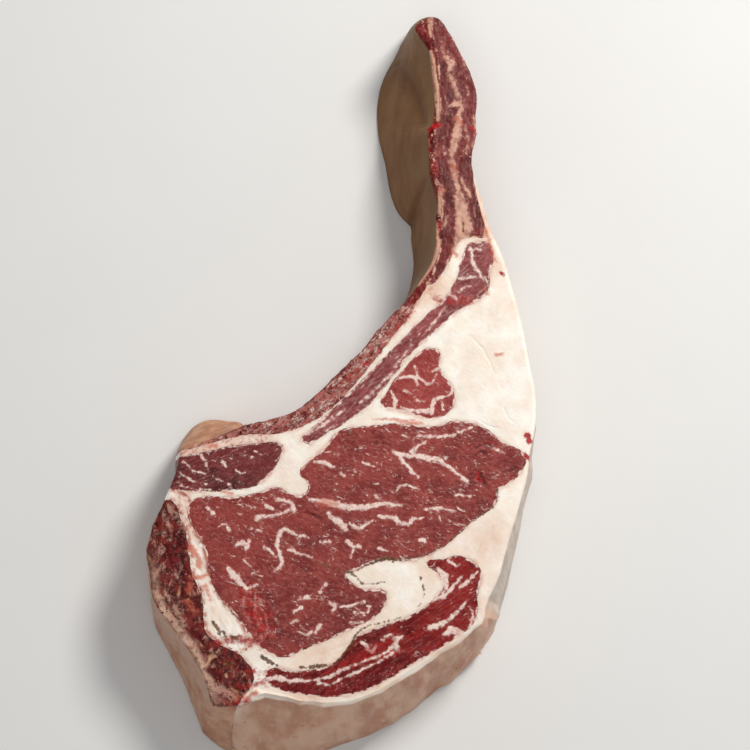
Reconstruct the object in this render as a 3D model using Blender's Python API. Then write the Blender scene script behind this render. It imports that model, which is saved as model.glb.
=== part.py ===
"""Raw tomahawk rib steak, one rib thick.

It lies on its back cut face, with the front cut face up and the long rib handle
pointing along +Y.  The outlines below are drawn in millimetres on the plan, seen
from above.  The whole steak is one lofted block between the outline of its front
face and the outline of its back face, and the plan outline of each muscle and
bone cuts that block into solids that run through its full thickness.
"""
import math

import bmesh
import bpy
from mathutils import Vector, noise

MM = 0.001
COLLECTION = "tomahawk_steak"
CUTTERS = "cutters"

THICKNESS = 50.0          # between the two cut faces
EDGE_DROP = 1.2           # height over which the rim of a cut face rounds off
GAP = 0.3                 # clearance between neighbouring solids
CUTTER_MARGIN = 5.0       # how far a cutter reaches past the cut faces
SPAN_STEPS = 3            # curve steps between two stations of the outline
CURVE_STEPS = 3           # curve steps between two points of a muscle outline
CRAG_SIZE = 8.0           # wavelength of the rough sawn walls
RIM_CRAG = 0.3            # share of a wall's roughness that is left at its rims
SHARP_ANGLE = math.radians(35)
MERGE_DISTANCE = 0.01     # welds the caps of a cutter to its sides

# Walls of the steak, in order round the plan and against the clock from the tip
# of the handle: belly is how far the wall swells at mid thickness, crag how rough
# it is, rounding how far the cut faces stop short of it.  Each station pairs a
# point of the front outline with one of the back outline:
# (front x, front y, back x, back y).
WALLS = (
    {"name": "handle_tip", "belly": 0.8, "crag": 0.6, "rounding": 0.9, "stations": (
        (53.5, 197.5, 52.5, 211.0),
        (48.5, 197.8, 47.5, 213.8),
        (43.5, 195.8, 42.5, 211.3),
        (40.5, 191.5, 37.5, 206.0),
    )},
    {"name": "membrane_side", "belly": 1.5, "crag": 0.2, "rounding": 0.7, "stations": (
        (43.0, 186.0, 33.5, 200.0),
        (47.5, 180.5, 30.0, 192.0),
        (50.0, 174.5, 24.0, 181.5),
        (51.5, 162.0, 20.0, 170.0),
        (52.8, 149.0, 18.6, 157.0),
        (51.5, 137.0, 19.2, 144.0),
        (48.5, 129.5, 21.0, 134.0),
        (48.8, 119.0, 23.5, 124.0),
        (49.5, 105.0, 27.0, 105.5),
        (52.0, 95.5, 31.0, 95.8),
        (53.5, 86.5, 37.6, 88.5),
        (52.5, 78.0, 38.7, 79.0),
        (52.0, 65.0, 39.8, 67.0),
        (49.5, 54.0, 38.0, 54.0),
        (43.5, 45.0, 34.5, 42.0),
    )},
    {"name": "sawn_rib_side", "belly": 0.0, "crag": 1.8, "rounding": 1.0, "stations": (
        (36.0, 34.0, 30.0, 30.0),
        (23.5, 21.0, 19.0, 17.0),
        (10.0, 5.0, 7.0, 1.0),
        (-5.5, -11.0, -8.0, -14.0),
        (-22.0, -26.0, -24.0, -28.0),
        (-34.0, -32.0, -37.0, -31.5),
        (-50.0, -36.0, -50.0, -30.0),
    )},
    {"name": "chine_bump", "belly": 2.0, "crag": 0.8, "rounding": 1.2, "stations": (
        (-61.0, -40.5, -58.5, -26.6),
        (-69.5, -44.3, -68.5, -24.2),
        (-76.0, -47.0, -78.3, -24.6),
        (-82.0, -49.5, -86.8, -30.2),
        (-88.0, -52.5, -91.0, -40.0),
    )},
    {"name": "chine_side", "belly": 0.8, "crag": 1.8, "rounding": 1.0, "stations": (
        (-91.5, -64.0, -92.0, -62.0),
        (-97.5, -79.0, -96.5, -79.0),
        (-103.2, -94.0, -101.5, -94.0),
        (-105.7, -105.0, -104.5, -106.0),
        (-104.2, -118.0, -106.5, -118.0),
        (-102.0, -133.0, -106.0, -131.0),
        (-92.5, -147.0, -102.5, -146.0),
        (-81.0, -162.5, -92.0, -166.0),
        (-72.5, -178.5, -84.0, -184.0),
        (-68.5, -189.5, -77.0, -201.0),
    )},
    {"name": "lower_end", "belly": 2.0, "crag": 3.2, "rounding": 1.4, "stations": (
        (-55.0, -189.8, -64.0, -211.3),
        (-41.0, -185.5, -45.5, -214.8),
        (-22.0, -188.8, -23.0, -214.2),
        (-1.0, -190.0, 1.0, -208.5),
        (16.0, -185.6, 22.0, -199.0),
        (31.5, -176.5, 42.0, -186.5),
        (47.5, -166.0, 60.5, -173.0),
        (63.5, -156.0, 75.5, -158.3),
        (75.0, -145.8, 84.5, -144.0),
    )},
    {"name": "outer_fat_side", "belly": 0.6, "crag": 0.4, "rounding": 2.0, "stations": (
        (79.5, -133.0, 88.8, -132.0),
        (85.7, -119.5, 93.0, -116.0),
        (90.0, -103.0, 97.1, -98.8),
        (96.0, -84.0, 101.5, -76.5),
        (101.5, -64.0, 106.6, -58.9),
        (102.9, -51.5, 106.5, -47.0),
        (106.2, -37.0, 106.0, -36.0),
        (106.4, -19.0, 104.0, -20.0),
        (103.0, 0.5, 99.0, 0.0),
        (99.7, 19.0, 94.0, 18.0),
        (95.0, 39.0, 88.0, 38.0),
        (89.6, 58.0, 80.0, 57.0),
        (83.2, 73.0, 71.5, 72.5),
        (78.8, 88.0, 64.0, 89.0),
        (74.5, 103.0, 58.5, 105.0),
        (72.9, 115.0, 55.0, 119.0),
        (75.5, 128.5, 54.0, 132.5),
        (75.3, 140.0, 52.5, 145.0),
        (76.3, 152.0, 52.0, 158.0),
        (72.6, 165.0, 51.5, 173.0),
        (66.0, 179.0, 52.0, 188.0),
        (59.0, 191.0, 53.5, 202.0),
    )},
)

# Rings of the block: height, and the share of the rounding by which it draws in.
RINGS = (
    (0.0, 1.0), (EDGE_DROP, 0.2), (9.0, 0.0), (19.0, 0.0),
    (31.0, 0.0), (41.0, 0.0), (THICKNESS - EDGE_DROP, 0.2), (THICKNESS, 1.0),
)

# Line between the rib with its membrane, on the inner side, and the rib meat.
RIB_LINE = (
    (51.0, 184.0), (53.0, 175.5), (54.0, 161.0), (54.5, 146.0), (53.5, 136.0), (50.8, 128.5),
    (50.5, 119.0), (51.2, 107.0), (53.8, 96.5), (55.3, 86.5), (54.7, 77.0), (54.5, 65.0),
    (51.8, 54.0), (47.5, 44.0), (42.5, 34.5), (35.0, 22.5), (24.0, 8.5), (12.5, -7.0),
    (-1.0, -23.0), (-10.5, -31.0), (-23.0, -38.0), (-35.0, -41.5), (-50.0, -42.0),
    (-64.0, -44.6), (-75.0, -48.0), (-84.0, -50.0),
)
PAST_THE_RIB = (
    (-95.0, -49.0), (-102.0, -12.0), (-20.0, 15.0), (0.0, 90.0), (0.0, 218.0), (40.0, 222.0),
    (49.0, 196.0),
)

# Outer side of the rib meat, from its point beside the rib up the handle.
MEAT_LINE = (
    (50.0, 43.0), (54.0, 47.0), (58.0, 54.5), (62.0, 62.5), (66.0, 68.5), (73.0, 69.8), (78.3, 69.8),
    (79.0, 74.0), (77.0, 82.5), (75.0, 91.0), (73.6, 98.5), (73.0, 104.0),
)
PAST_THE_HANDLE = (
    (75.0, 112.0), (90.0, 125.0), (92.0, 160.0), (80.0, 190.0), (56.0, 222.0), (40.0, 214.0),
    (38.0, 190.0), (44.0, 150.0), (42.0, 115.0), (46.0, 85.0), (44.0, 60.0), (44.0, 45.0),
)
INTERCOSTAL = (
    (69.5, 64.8), (75.0, 66.2), (81.5, 65.5), (83.2, 59.0), (81.2, 49.0), (80.0, 38.5),
    (72.0, 32.0), (63.3, 27.2), (52.0, 17.0), (38.0, 4.0), (28.0, -9.5), (21.0, -17.8),
    (14.0, -26.0), (4.0, -33.5), (-8.0, -41.0), (-21.8, -46.0), (-15.5, -38.5), (-8.5, -31.8),
    (7.0, -16.5), (21.3, -1.5), (34.5, 12.2), (48.0, 25.8), (56.5, 33.5), (61.0, 40.5),
    (64.0, 48.5), (67.0, 57.5),
)

EYE = (
    (-1.0, -40.4), (15.0, -38.1), (29.0, -36.6), (49.0, -38.3), (62.0, -35.0), (76.5, -38.3),
    (88.0, -47.2), (100.0, -54.8), (97.5, -62.6), (90.5, -69.6), (84.8, -73.2), (83.8, -79.5),
    (71.0, -89.8), (53.5, -105.0), (39.7, -111.3), (21.0, -111.3), (10.5, -115.2), (2.0, -119.5),
    (6.0, -124.2), (13.0, -127.8), (23.5, -129.5), (20.5, -139.5), (4.5, -149.0), (-17.0, -158.0),
    (-34.5, -163.8), (-48.0, -154.0), (-55.0, -143.5), (-64.5, -133.0), (-71.0, -120.5),
    (-73.7, -106.5), (-80.0, -94.5), (-83.5, -84.5), (-80.0, -78.3), (-61.0, -77.5),
    (-44.0, -74.5), (-35.5, -72.0), (-29.5, -75.0), (-22.0, -76.5), (-17.5, -70.5),
    (-22.5, -64.0), (-18.5, -58.0), (-9.5, -50.2),
)
CHINE_MUSCLE = (
    (-98.0, -56.0), (-88.0, -54.8), (-77.5, -52.8), (-64.0, -49.8), (-44.0, -47.4), (-33.0, -48.8),
    (-34.5, -55.0), (-40.5, -65.0), (-47.0, -70.3), (-60.0, -72.8), (-77.5, -74.0), (-88.0, -73.0),
    (-99.0, -69.5), (-104.0, -62.0),
)
DECKLE = (
    (43.5, 3.8), (49.5, 5.8), (53.5, 3.0), (53.0, -3.4), (55.0, -9.0), (60.3, -17.0),
    (61.5, -24.7), (57.0, -30.3), (48.5, -33.0), (38.5, -30.5), (30.0, -28.3), (21.5, -25.0),
    (24.5, -19.5), (29.5, -11.5), (36.0, -3.8),
)
CAP_MUSCLE = (
    (46.5, -113.0), (54.5, -111.8), (62.5, -109.6), (71.0, -112.6), (75.0, -118.0), (73.2, -130.5),
    (73.0, -140.0), (70.0, -147.0), (64.0, -151.5), (56.0, -157.0), (44.5, -164.0), (31.0, -172.0),
    (15.0, -181.0), (-1.0, -185.0), (-22.0, -183.8), (-34.0, -180.8), (-40.5, -176.0),
    (-38.5, -170.8), (-26.5, -172.0), (-9.0, -169.8), (-0.5, -164.5), (7.5, -154.0),
    (19.5, -148.2), (33.0, -144.2), (43.0, -138.8), (51.0, -132.0), (55.5, -125.5), (52.5, -118.6),
)
CHINE_BONE = (
    (-115.0, -85.0), (-104.0, -81.0), (-93.0, -79.0), (-87.0, -89.5), (-83.8, -101.0),
    (-82.3, -111.5), (-80.5, -120.5), (-76.5, -129.0), (-75.0, -140.0), (-72.5, -151.5),
    (-66.5, -156.8), (-58.0, -161.0), (-51.0, -167.0), (-47.5, -175.0), (-51.0, -183.0),
    (-56.0, -190.0), (-60.0, -200.0), (-66.0, -222.0), (-90.0, -218.0), (-118.0, -150.0),
)

# The ligament fills what the chine and the eye muscle leave between them.
LIGAMENT = (
    (-101.0, -73.0), (-88.0, -74.0), (-83.5, -78.0), (-79.0, -85.0), (-75.5, -95.0), (-69.5, -107.0),
    (-67.0, -121.0), (-60.0, -133.0), (-51.5, -143.5), (-46.5, -153.0), (-49.5, -158.5),
    (-58.0, -162.5), (-69.0, -158.5), (-77.0, -148.0), (-79.0, -130.0), (-85.0, -118.0),
    (-88.0, -105.0), (-91.0, -92.0), (-96.0, -84.0), (-106.0, -82.5),
)

# The solids, in the order in which they are cut: plan outline, how far the face
# lies below the cut face, colour, roughness, and the solids that leave it no room.
MUSCLES_AND_BONES = (
    ("rib_bone", RIB_LINE + PAST_THE_RIB, 0.9, (0.55, 0.36, 0.24), 0.55, ()),
    ("rib_meat", MEAT_LINE + PAST_THE_HANDLE, 0.3, (0.34, 0.06, 0.06), 0.42, ("rib_bone",)),
    ("intercostal_muscle", INTERCOSTAL, 0.4, (0.33, 0.05, 0.055), 0.42, ()),
    ("eye_muscle", EYE, 0.0, (0.30, 0.045, 0.05), 0.38, ()),
    ("chine_muscle", CHINE_MUSCLE, 0.2, (0.26, 0.035, 0.04), 0.42, ()),
    ("deckle_muscle", DECKLE, 0.3, (0.32, 0.05, 0.055), 0.4, ()),
    ("cap_muscle", CAP_MUSCLE, 0.6, (0.29, 0.03, 0.035), 0.36, ()),
    ("chine_bone", CHINE_BONE, 1.0, (0.36, 0.11, 0.09), 0.6, ()),
    ("ligament", LIGAMENT, 0.4, (0.80, 0.62, 0.46), 0.5, ("eye_muscle", "chine_muscle", "chine_bone")),
)
FAT = ("fat", (0.88, 0.78, 0.68), 0.45)


def clear_scene():
    for item in list(bpy.data.objects):
        bpy.data.objects.remove(item, do_unlink=True)


def make_collection(name):
    collection = bpy.data.collections.new(name)
    bpy.context.scene.collection.children.link(collection)
    return collection


def make_material(name, color, roughness):
    material = bpy.data.materials.new(name)
    material.use_nodes = True
    shader = material.node_tree.nodes["Principled BSDF"]
    shader.inputs["Base Color"].default_value = (*color, 1.0)
    shader.inputs["Roughness"].default_value = roughness
    shader.inputs["Metallic"].default_value = 0.0
    return material


def smooth_between(before, start, end, after, t):
    """Catmull-Rom: the smooth curve from start to end, at t between 0 and 1."""
    bend = 2 * before - 5 * start + 4 * end - after
    turn = 3 * start - before - 3 * end + after
    return start + 0.5 * t * ((end - before) + t * (bend + t * turn))


def closed_curve(points):
    """Even steps along a smooth closed curve through the points."""
    count = len(points)
    curve = []
    for index in range(count):
        neighbours = [points[(index + step) % count] for step in (-1, 0, 1, 2)]
        for step in range(SPAN_STEPS):
            curve.append(smooth_between(*neighbours, step / SPAN_STEPS))
    return curve


def outward_normals(outline):
    """Sideways directions out of a closed outline that runs against the clock."""
    count = len(outline)
    normals = []
    for index in range(count):
        along = outline[(index + 1) % count] - outline[index - 1]
        normals.append(Vector((along.y, -along.x)).normalized())
    return normals


def wall_values(name):
    """One value of every wall, repeated for each curve step along that wall."""
    values = []
    for wall in WALLS:
        values += [wall[name]] * (len(wall["stations"]) * SPAN_STEPS)
    return values


def block_rings():
    """The rings of the whole steak, from the back cut face up to the front one."""
    stations = [station for wall in WALLS for station in wall["stations"]]
    front = closed_curve([Vector(station[:2]) for station in stations])
    back = closed_curve([Vector(station[2:]) for station in stations])
    walls = list(zip(wall_values("belly"), wall_values("crag"), wall_values("rounding")))
    rings = []
    for height, drawn_in in RINGS:
        share = height / THICKNESS
        swell = 4 * share * (1 - share)
        outline = [low.lerp(high, share) for low, high in zip(back, front)]
        ring = []
        for point, normal, (belly, crag, rounding) in zip(outline, outward_normals(outline), walls):
            lump = noise.noise(Vector((point.x, point.y, height)) / CRAG_SIZE)
            roughness = crag * (RIM_CRAG + (1 - RIM_CRAG) * swell)
            reach = belly * swell + roughness * lump - rounding * drawn_in
            ring.append(Vector((*(point + normal * reach), height)) * MM)
        rings.append(ring)
    return rings


def plan_centre(rings):
    """Middle of the plan, which becomes the origin of the part."""
    corners = []
    for pick in (min, max):
        corners.append([pick(point[axis] for ring in rings for point in ring) for axis in (0, 1)])
    low, high = corners
    return Vector(((low[0] + high[0]) / 2, (low[1] + high[1]) / 2, 0.0))


def block_mesh(rings):
    """Closed loft through the rings."""
    count = len(rings[0])
    block = bmesh.new()
    levels = [[block.verts.new(point) for point in ring] for ring in rings]
    for lower, upper in zip(levels, levels[1:]):
        for index in range(count):
            following = (index + 1) % count
            block.faces.new((lower[index], lower[following], upper[following], upper[index]))
    block.faces.new(reversed(levels[0]))
    block.faces.new(levels[-1])
    block.normal_update()
    bmesh.ops.triangulate(block, faces=[face for face in block.faces if len(face.verts) > 4])
    mesh = bpy.data.meshes.new("steak_block")
    block.to_mesh(mesh)
    block.free()
    mesh.shade_smooth()
    mesh.set_sharp_from_angle(angle=SHARP_ANGLE)
    return mesh


def outline_prism(name, outline, top, growth, cutters):
    """Mesh cutter: a closed plan outline, grown sideways, standing up to a given height."""
    curve = bpy.data.curves.new(name, "CURVE")
    curve.dimensions = "2D"
    curve.fill_mode = "BOTH"
    curve.resolution_u = CURVE_STEPS
    curve.extrude = (top + CUTTER_MARGIN) / 2 * MM
    curve.offset = growth * MM
    spline = curve.splines.new("BEZIER")
    spline.bezier_points.add(len(outline) - 1)
    for knot, (x, y) in zip(spline.bezier_points, outline):
        knot.co = (x * MM, y * MM, 0.0)
        knot.handle_left_type = "AUTO"
        knot.handle_right_type = "AUTO"
    spline.use_cyclic_u = True
    drawing = bpy.data.objects.new(name + "_drawing", curve)
    cutters.objects.link(drawing)
    drawing.location.z = (top - CUTTER_MARGIN) / 2 * MM
    bpy.context.view_layer.update()
    evaluated = drawing.evaluated_get(bpy.context.evaluated_depsgraph_get())
    mesh = bpy.data.meshes.new_from_object(evaluated)
    solid = bmesh.new()
    solid.from_mesh(mesh)
    bmesh.ops.remove_doubles(solid, verts=solid.verts, dist=MERGE_DISTANCE * MM)
    solid.to_mesh(mesh)
    solid.free()
    prism = bpy.data.objects.new(name, mesh)
    prism.matrix_world = drawing.matrix_world
    prism.hide_render = True
    prism.display_type = "WIRE"
    cutters.objects.link(prism)
    bpy.data.objects.remove(drawing, do_unlink=True)
    return prism


def add_boolean(target, cutter, operation):
    modifier = target.modifiers.new(operation.lower() + "_" + cutter.name, "BOOLEAN")
    modifier.operation = operation
    modifier.object = cutter
    modifier.solver = "EXACT"


def add_solid(name, block, color, roughness, parts):
    mesh = block.copy()
    mesh.name = name
    mesh.materials.append(make_material(name, color, roughness))
    solid = bpy.data.objects.new(name, mesh)
    parts.objects.link(solid)
    return solid


def centre_on_origin(centre, parts, cutters):
    """Hang the steak and its cutters on an empty that brings the plan's middle to the origin."""
    datum = bpy.data.objects.new("steak_datum", None)
    bpy.context.scene.collection.objects.link(datum)
    datum.location = -centre
    for item in [*parts.objects, *cutters.objects]:
        item.parent = datum


def build():
    clear_scene()
    parts = make_collection(COLLECTION)
    cutters = make_collection(CUTTERS)
    rings = block_rings()
    block = block_mesh(rings)
    rooms = {}
    for name, outline, sink, color, roughness, neighbours in MUSCLES_AND_BONES:
        solid = add_solid(name, block, color, roughness, parts)
        shape = outline_prism(name + "_outline", outline, THICKNESS - sink, 0.0, cutters)
        add_boolean(solid, shape, "INTERSECT")
        for neighbour in neighbours:
            add_boolean(solid, rooms[neighbour], "DIFFERENCE")
        rooms[name] = outline_prism(name + "_room", outline, THICKNESS + CUTTER_MARGIN, GAP, cutters)
    fat_name, fat_color, fat_roughness = FAT
    fat = add_solid(fat_name, block, fat_color, fat_roughness, parts)
    for room in rooms.values():
        add_boolean(fat, room, "DIFFERENCE")
    bpy.data.meshes.remove(block)
    centre_on_origin(plan_centre(rings), parts, cutters)


build()
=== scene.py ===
"""Dresses the raw tomahawk steak: marbled lean, creamy fat, sawn bone and the rib's membrane.

Every solid of the frame gets one dressed piece in its place.  A piece is a copy of its solid
whose seams reach a little into its neighbours, whose outer walls are refined and roughened,
and whose cut faces are filled again with a fine net in relief.  Veins, streaks and stains
are drawn as strokes in millimetres on the plan, and each mesh carries their distance fields
as attributes, which the materials turn into crisp edges.
"""
import collections
import itertools
import math

import bmesh
import bpy
import numpy as np
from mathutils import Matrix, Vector
from mathutils.bvhtree import BVHTree
from mathutils.geometry import delaunay_2d_cdt


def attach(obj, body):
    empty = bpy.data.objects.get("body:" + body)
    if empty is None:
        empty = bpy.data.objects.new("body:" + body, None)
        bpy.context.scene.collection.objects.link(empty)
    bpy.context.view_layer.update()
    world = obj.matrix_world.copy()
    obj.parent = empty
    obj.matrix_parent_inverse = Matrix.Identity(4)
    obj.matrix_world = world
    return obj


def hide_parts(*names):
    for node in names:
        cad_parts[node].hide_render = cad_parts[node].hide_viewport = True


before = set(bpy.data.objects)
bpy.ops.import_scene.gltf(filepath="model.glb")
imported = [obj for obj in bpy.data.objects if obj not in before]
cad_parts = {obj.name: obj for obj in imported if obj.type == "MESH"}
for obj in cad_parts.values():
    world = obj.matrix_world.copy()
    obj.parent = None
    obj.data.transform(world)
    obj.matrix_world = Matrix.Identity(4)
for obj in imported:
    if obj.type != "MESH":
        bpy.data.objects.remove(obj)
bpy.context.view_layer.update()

MM = 0.001
FACE = 50.0               # height of the front cut face above the floor, in mm
RIM_RING = 48.8           # height of the ring where the rim of the cut face begins to round
RING_GAP = 0.03           # an edge this close to that height lies on the ring
LEVEL_GAP = 0.05          # room for error in the heights of the cut faces
FLAT = 0.9                # a face whose normal's z is past this is no wall
LEAST_SLOPE = 0.3         # a face whose normal is less sideways than this moves no seam
FRONT_STEP = 0.6          # grid of the front cut face
BACK_STEP = 1.6           # grid of the back cut face
ROW_HEIGHT = 0.866        # distance of the grid's rows, in steps
EDGE_ROOM = 0.42          # distance of the grid from the outline, in steps
WALL_STEP = 1.6           # longest edge left on an outer wall
FRONT_RIM_STEP = 1.0      # longest edge left round the front cut face
BACK_RIM_STEP = 2.5       # longest edge left round the back cut face
MOST_SPLITS = 9
OVERLAP = 0.45            # how far a muscle or bone reaches into its neighbours
SEAM_REACH = 0.9          # a wall with a neighbour this close is a seam, not an outer wall
WELD = 0.0002
FAR = 6.0                 # distance fields stop at this many mm
WIDE = 14.0               # except round wide zones
ANYWHERE = 400.0          # and where every place has a nearest wall
WALL_BLEND = 4.0          # how far one kind of wall runs over into the next
SHARP = math.radians(60)
NOISE_SHIFT = 17.3        # keeps the knots of the noise off the object's middle
NOISE_GAIN = 1.7
FRAY = 0.5                # how far the seams' upper edges are pushed about
FRAY_SIZE = 4.2
VALLEY_DEPTH = 1.1
RIM_RADIUS = 1.7
VEIN_HEIGHT = 0.16
SEAM_DENT = 0.10
LIP_HEIGHT = 1.0
SEAM_RAG = 3.4            # how much noise moves the drawn line between muscle and fat
# Marbling: length, width and noise level of its streaks, and how strong they are.
STREAKS = ((7.0, 3.0, 0.645, 0.9), (3.8, 1.9, 0.640, 0.8), (2.2, 1.3, 0.65, 0.5))


# ---- strokes, zones and walls, all drawn on the plan in mm: x, y, half width ----

# Fat that was drawn from the photograph, by the muscle it runs in.
EYE_VEINS = (
    ((28, -51, 0.6), (30.5, -53, 1.1), (42.5, -54, 1.2), (53.5, -56.5, 1.1), (60, -61, 0.9),
     (68, -67.5, 0.4)),
    ((31.5, -54, 1.1), (34, -57.5, 1), (38, -62, 0.8), (42, -66, 0.3)),
    ((38, -51.5, 0.9), (39, -50, 0.7), (45, -46.5, 0.6), (46, -45.5, 0.3)),
    ((41, -42.5, 0.4), (51, -43, 0.6), (60, -42.5, 0.6), (64.5, -40.5, 0.5), (72, -37.5, 0.3)),
    ((29.5, -73.5, 0.3), (31.5, -70.5, 0.6), (36, -70, 0.6), (41.5, -72.5, 0.3)),
    ((-17.5, -78, 0.6), (-11, -78.5, 1.1), (-4, -80.5, 1.7), (3, -82, 1.5), (10, -82.5, 1.4),
     (16.5, -81.5, 1.1), (23.5, -80, 1), (32.5, -81, 0.4)),
    ((20, -87, 0.4), (29, -88, 0.9), (30.5, -90, 0.9), (36, -91.5, 1), (39, -88.5, 0.7),
     (44, -88, 0.3)),
    ((45, -83.5, 0.3), (52, -82.5, 0.6), (61.5, -84.5, 0.3)),
    ((52, -82.5, 0.4), (53.5, -89.5, 0.2)),
    ((42.5, -100.5, 0.6), (44, -100, 0.9), (45.5, -101.5, 0.4)),
    ((2.5, -101, 0.7), (6.5, -103.5, 0.9), (10, -103.5, 0.6)),
    ((6.5, -103.5, 0.8), (5, -109.5, 0.3)),
    ((19.5, -104.5, 0.4), (24.5, -106, 0.4)),
    ((-7.5, -85.5, 0.6), (-4, -89, 1.1), (-1, -90, 1.7), (2, -94, 1.1)),
    ((4.5, -91.5, 0.6), (9, -94, 0.9), (13, -91.5, 0.7), (16.5, -89.5, 0.4)),
    ((-24.5, -97.5, 0.4), (-30.5, -94, 0.8), (-33.5, -95.5, 0.8), (-35, -100, 0.9), (-35, -104.5, 0.8),
     (-33.5, -109, 0.8), (-32.5, -112, 0.7), (-33.5, -115, 0.6), (-36.5, -117, 0.3)),
    ((-57.5, -103, 0.9), (-53.5, -101, 1.1), (-51.5, -105, 1.1), (-50, -100.5, 0.6)),
    ((-41.5, -104.5, 1), (-39, -106, 0.6), (-35.5, -109.5, 0.3)),
    ((-61.5, -116, 1.1), (-58.5, -119, 1.8), (-56, -121.5, 1.4), (-54.5, -124.5, 0.4)),
    ((-54.5, -123, 0.4), (-51.5, -126.5, 0.6), (-45.5, -124.5, 0.4)),
    ((-67, -92.5, 0.3), (-63, -91.5, 0.4), (-61, -95.5, 0.3)),
    ((-46.5, -88, 1.2), (-44, -87.5, 1.4), (-42.5, -86.5, 0.6)),
    ((-42.5, -87.5, 0.4), (-38, -86.5, 0.6), (-32.5, -85.5, 0.9), (-28.5, -84, 0.4)),
    ((-43, -80, 0.7), (-38, -83, 0.7)),
    ((-36.5, -77.5, 0.4), (-31, -78.5, 0.8), (-27, -80, 0.8), (-26, -84.5, 0.6)),
    ((-15, -57, 0.4), (-10, -57.5, 1), (-4.5, -60, 0.4)),
    ((-29, -105.5, 0.6), (-27.5, -105.5, 1), (-26, -106, 0.6)),
    ((-26, -106.5, 0.3), (-21.5, -108, 0.3), (-15.5, -110, 0.2)),
    ((-24.5, -99, 0.6), (-21, -98, 0.8), (-18, -99, 0.4)),
    ((-73, -82.5, 0.6), (-70, -85.5, 0.6)),
    ((-11.5, -101.5, 0.6), (-6.5, -101, 0.4)),
    ((65.5, -66.5, 0.7), (68.5, -68, 0.4)),
    ((18, -75.5, 0.4), (21.5, -77, 0.4)),
    ((61.5, -75.5, 0.3), (70, -76, 0.3)),
    ((-0.5, -63.5, 0.6), (1.5, -64.5, 0.3)),
    ((78, -47.5, 0.1), (84, -50, 0.4), (88.5, -52, 0.2)),
    ((11.5, -57.5, 0.4), (17.5, -59.5, 0.3)),
    ((-49, -93.5, 0.3), (-43.5, -95.5, 0.3)),
    ((-53.5, -111, 0.4), (-49.5, -114.5, 0.4)),
    ((-49, -118.5, 0.3), (-45.5, -117.5, 0.3)),
    ((-6, -134.5, 0.9), (-3.5, -136, 1.2), (-5, -139, 0.6)),
    ((15, -136.5, 0.6), (14, -140, 0.3)),
    ((-1, -137, 0.3), (5.5, -136, 0.4), (12.5, -133.5, 0.4)),
    ((-11.5, -146, 0.8), (-14, -150, 0.6)),
    ((-24, -133, 0.4), (-19.5, -131.5, 0.7), (-14.5, -133, 0.3)),
    ((-25.5, -139, 0.8), (-22, -137.5, 1)),
    ((-27, -145, 0.8), (-24, -143.5, 0.8)),
    ((-11.5, -128.5, 0.6), (-8.5, -124, 0.4)),
    ((7, -139.5, 0.3), (13, -141.5, 0.3)),
    ((-18.5, -151.5, 0.6), (-16, -150, 0.4)),
    ((4.5, -145, 0.3), (11, -145, 0.3)),
)
DECKLE_VEINS = (
    ((31, -10.5, 0.3), (34.5, -9.2, 0.5), (39.3, -9.6, 0.6), (41.6, -13.4, 0.4)),
    ((39.7, -3.6, 0.3), (41.4, -9.9, 0.5), (46.2, -13, 0.7), (49.6, -12.7, 0.6), (51.7, -8.5, 0.3)),
    ((48.9, -29, 1.3), (49.6, -25, 0.9), (50.7, -21.8, 0.9), (53.7, -21.4, 0.7), (57.8, -20.4, 0.5),
     (60.8, -16.9, 0.4)),
    ((53.7, -22, 0.4), (55.7, -28.1, 0.4)),
    ((26.9, -17.6, 0.6), (29.3, -22.5, 1), (28.3, -28, 1.2)),
    ((32.4, -27, 0.8), (38.6, -28.6, 0.8), (46.8, -28.6, 1)),
    ((54.5, -4, 0.9), (49.6, -6.4, 0.4)),
    ((40.5, -22.5, 0.3), (45, -23.5, 0.3)),
    ((34, -17, 0.3), (38, -19, 0.3)),
)
CAP_VEINS = (
    ((52, -115.5, 0.8), (55.5, -120, 2), (56.5, -125, 1.4), (55, -128.5, 0.6)),
    ((48.5, -133.5, 0.6), (56, -130.5, 0.9), (61.5, -123.5, 0.7), (64.5, -120.5, 0.4)),
    ((64, -126, 0.6), (69, -122, 0.7), (73.5, -117.5, 0.4)),
    ((47.5, -148, 1.4), (56, -145, 1.1), (62.5, -139.5, 0.6), (67.5, -133, 0.4)),
    ((-45, -176, 0.6), (-35.7, -174.9, 1.1), (-26, -176.5, 0.9), (-16.9, -176.7, 0.5), (-6.2, -174, 0.6),
     (3.2, -169.3, 0.5), (11.3, -166.3, 0.3), (20.7, -162.8, 0.4), (26.1, -159.2, 0.7), (30, -154.5, 1.4)),
    ((-12.9, -178, 0.6), (-6, -178.5, 0.3), (-0.8, -175.7, 0.2), (11.3, -170.6, 0.4), (20, -166, 0.2),
     (27.4, -161.5, 0.7)),
    ((30, -160, 0.8), (29, -155, 1.8), (32, -152.5, 1.2)),
    ((11, -156, 0.7), (13.5, -158, 1.1)),
    ((13, -159, 0.4), (16.5, -161, 0.9), (18.5, -157.5, 0.4)),
    ((22.5, -154.5, 0.8), (26, -151.5, 0.6)),
    ((69.5, -136.5, 0.4), (71, -141.5, 0.6), (69, -148, 0.6)),
    ((55.5, -151.5, 0.9), (59.5, -149, 1.9), (63, -150.5, 1.7)),
    ((57.5, -111, 0.4), (62, -114.5, 0.4), (66, -112.5, 0.3)),
)
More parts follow.
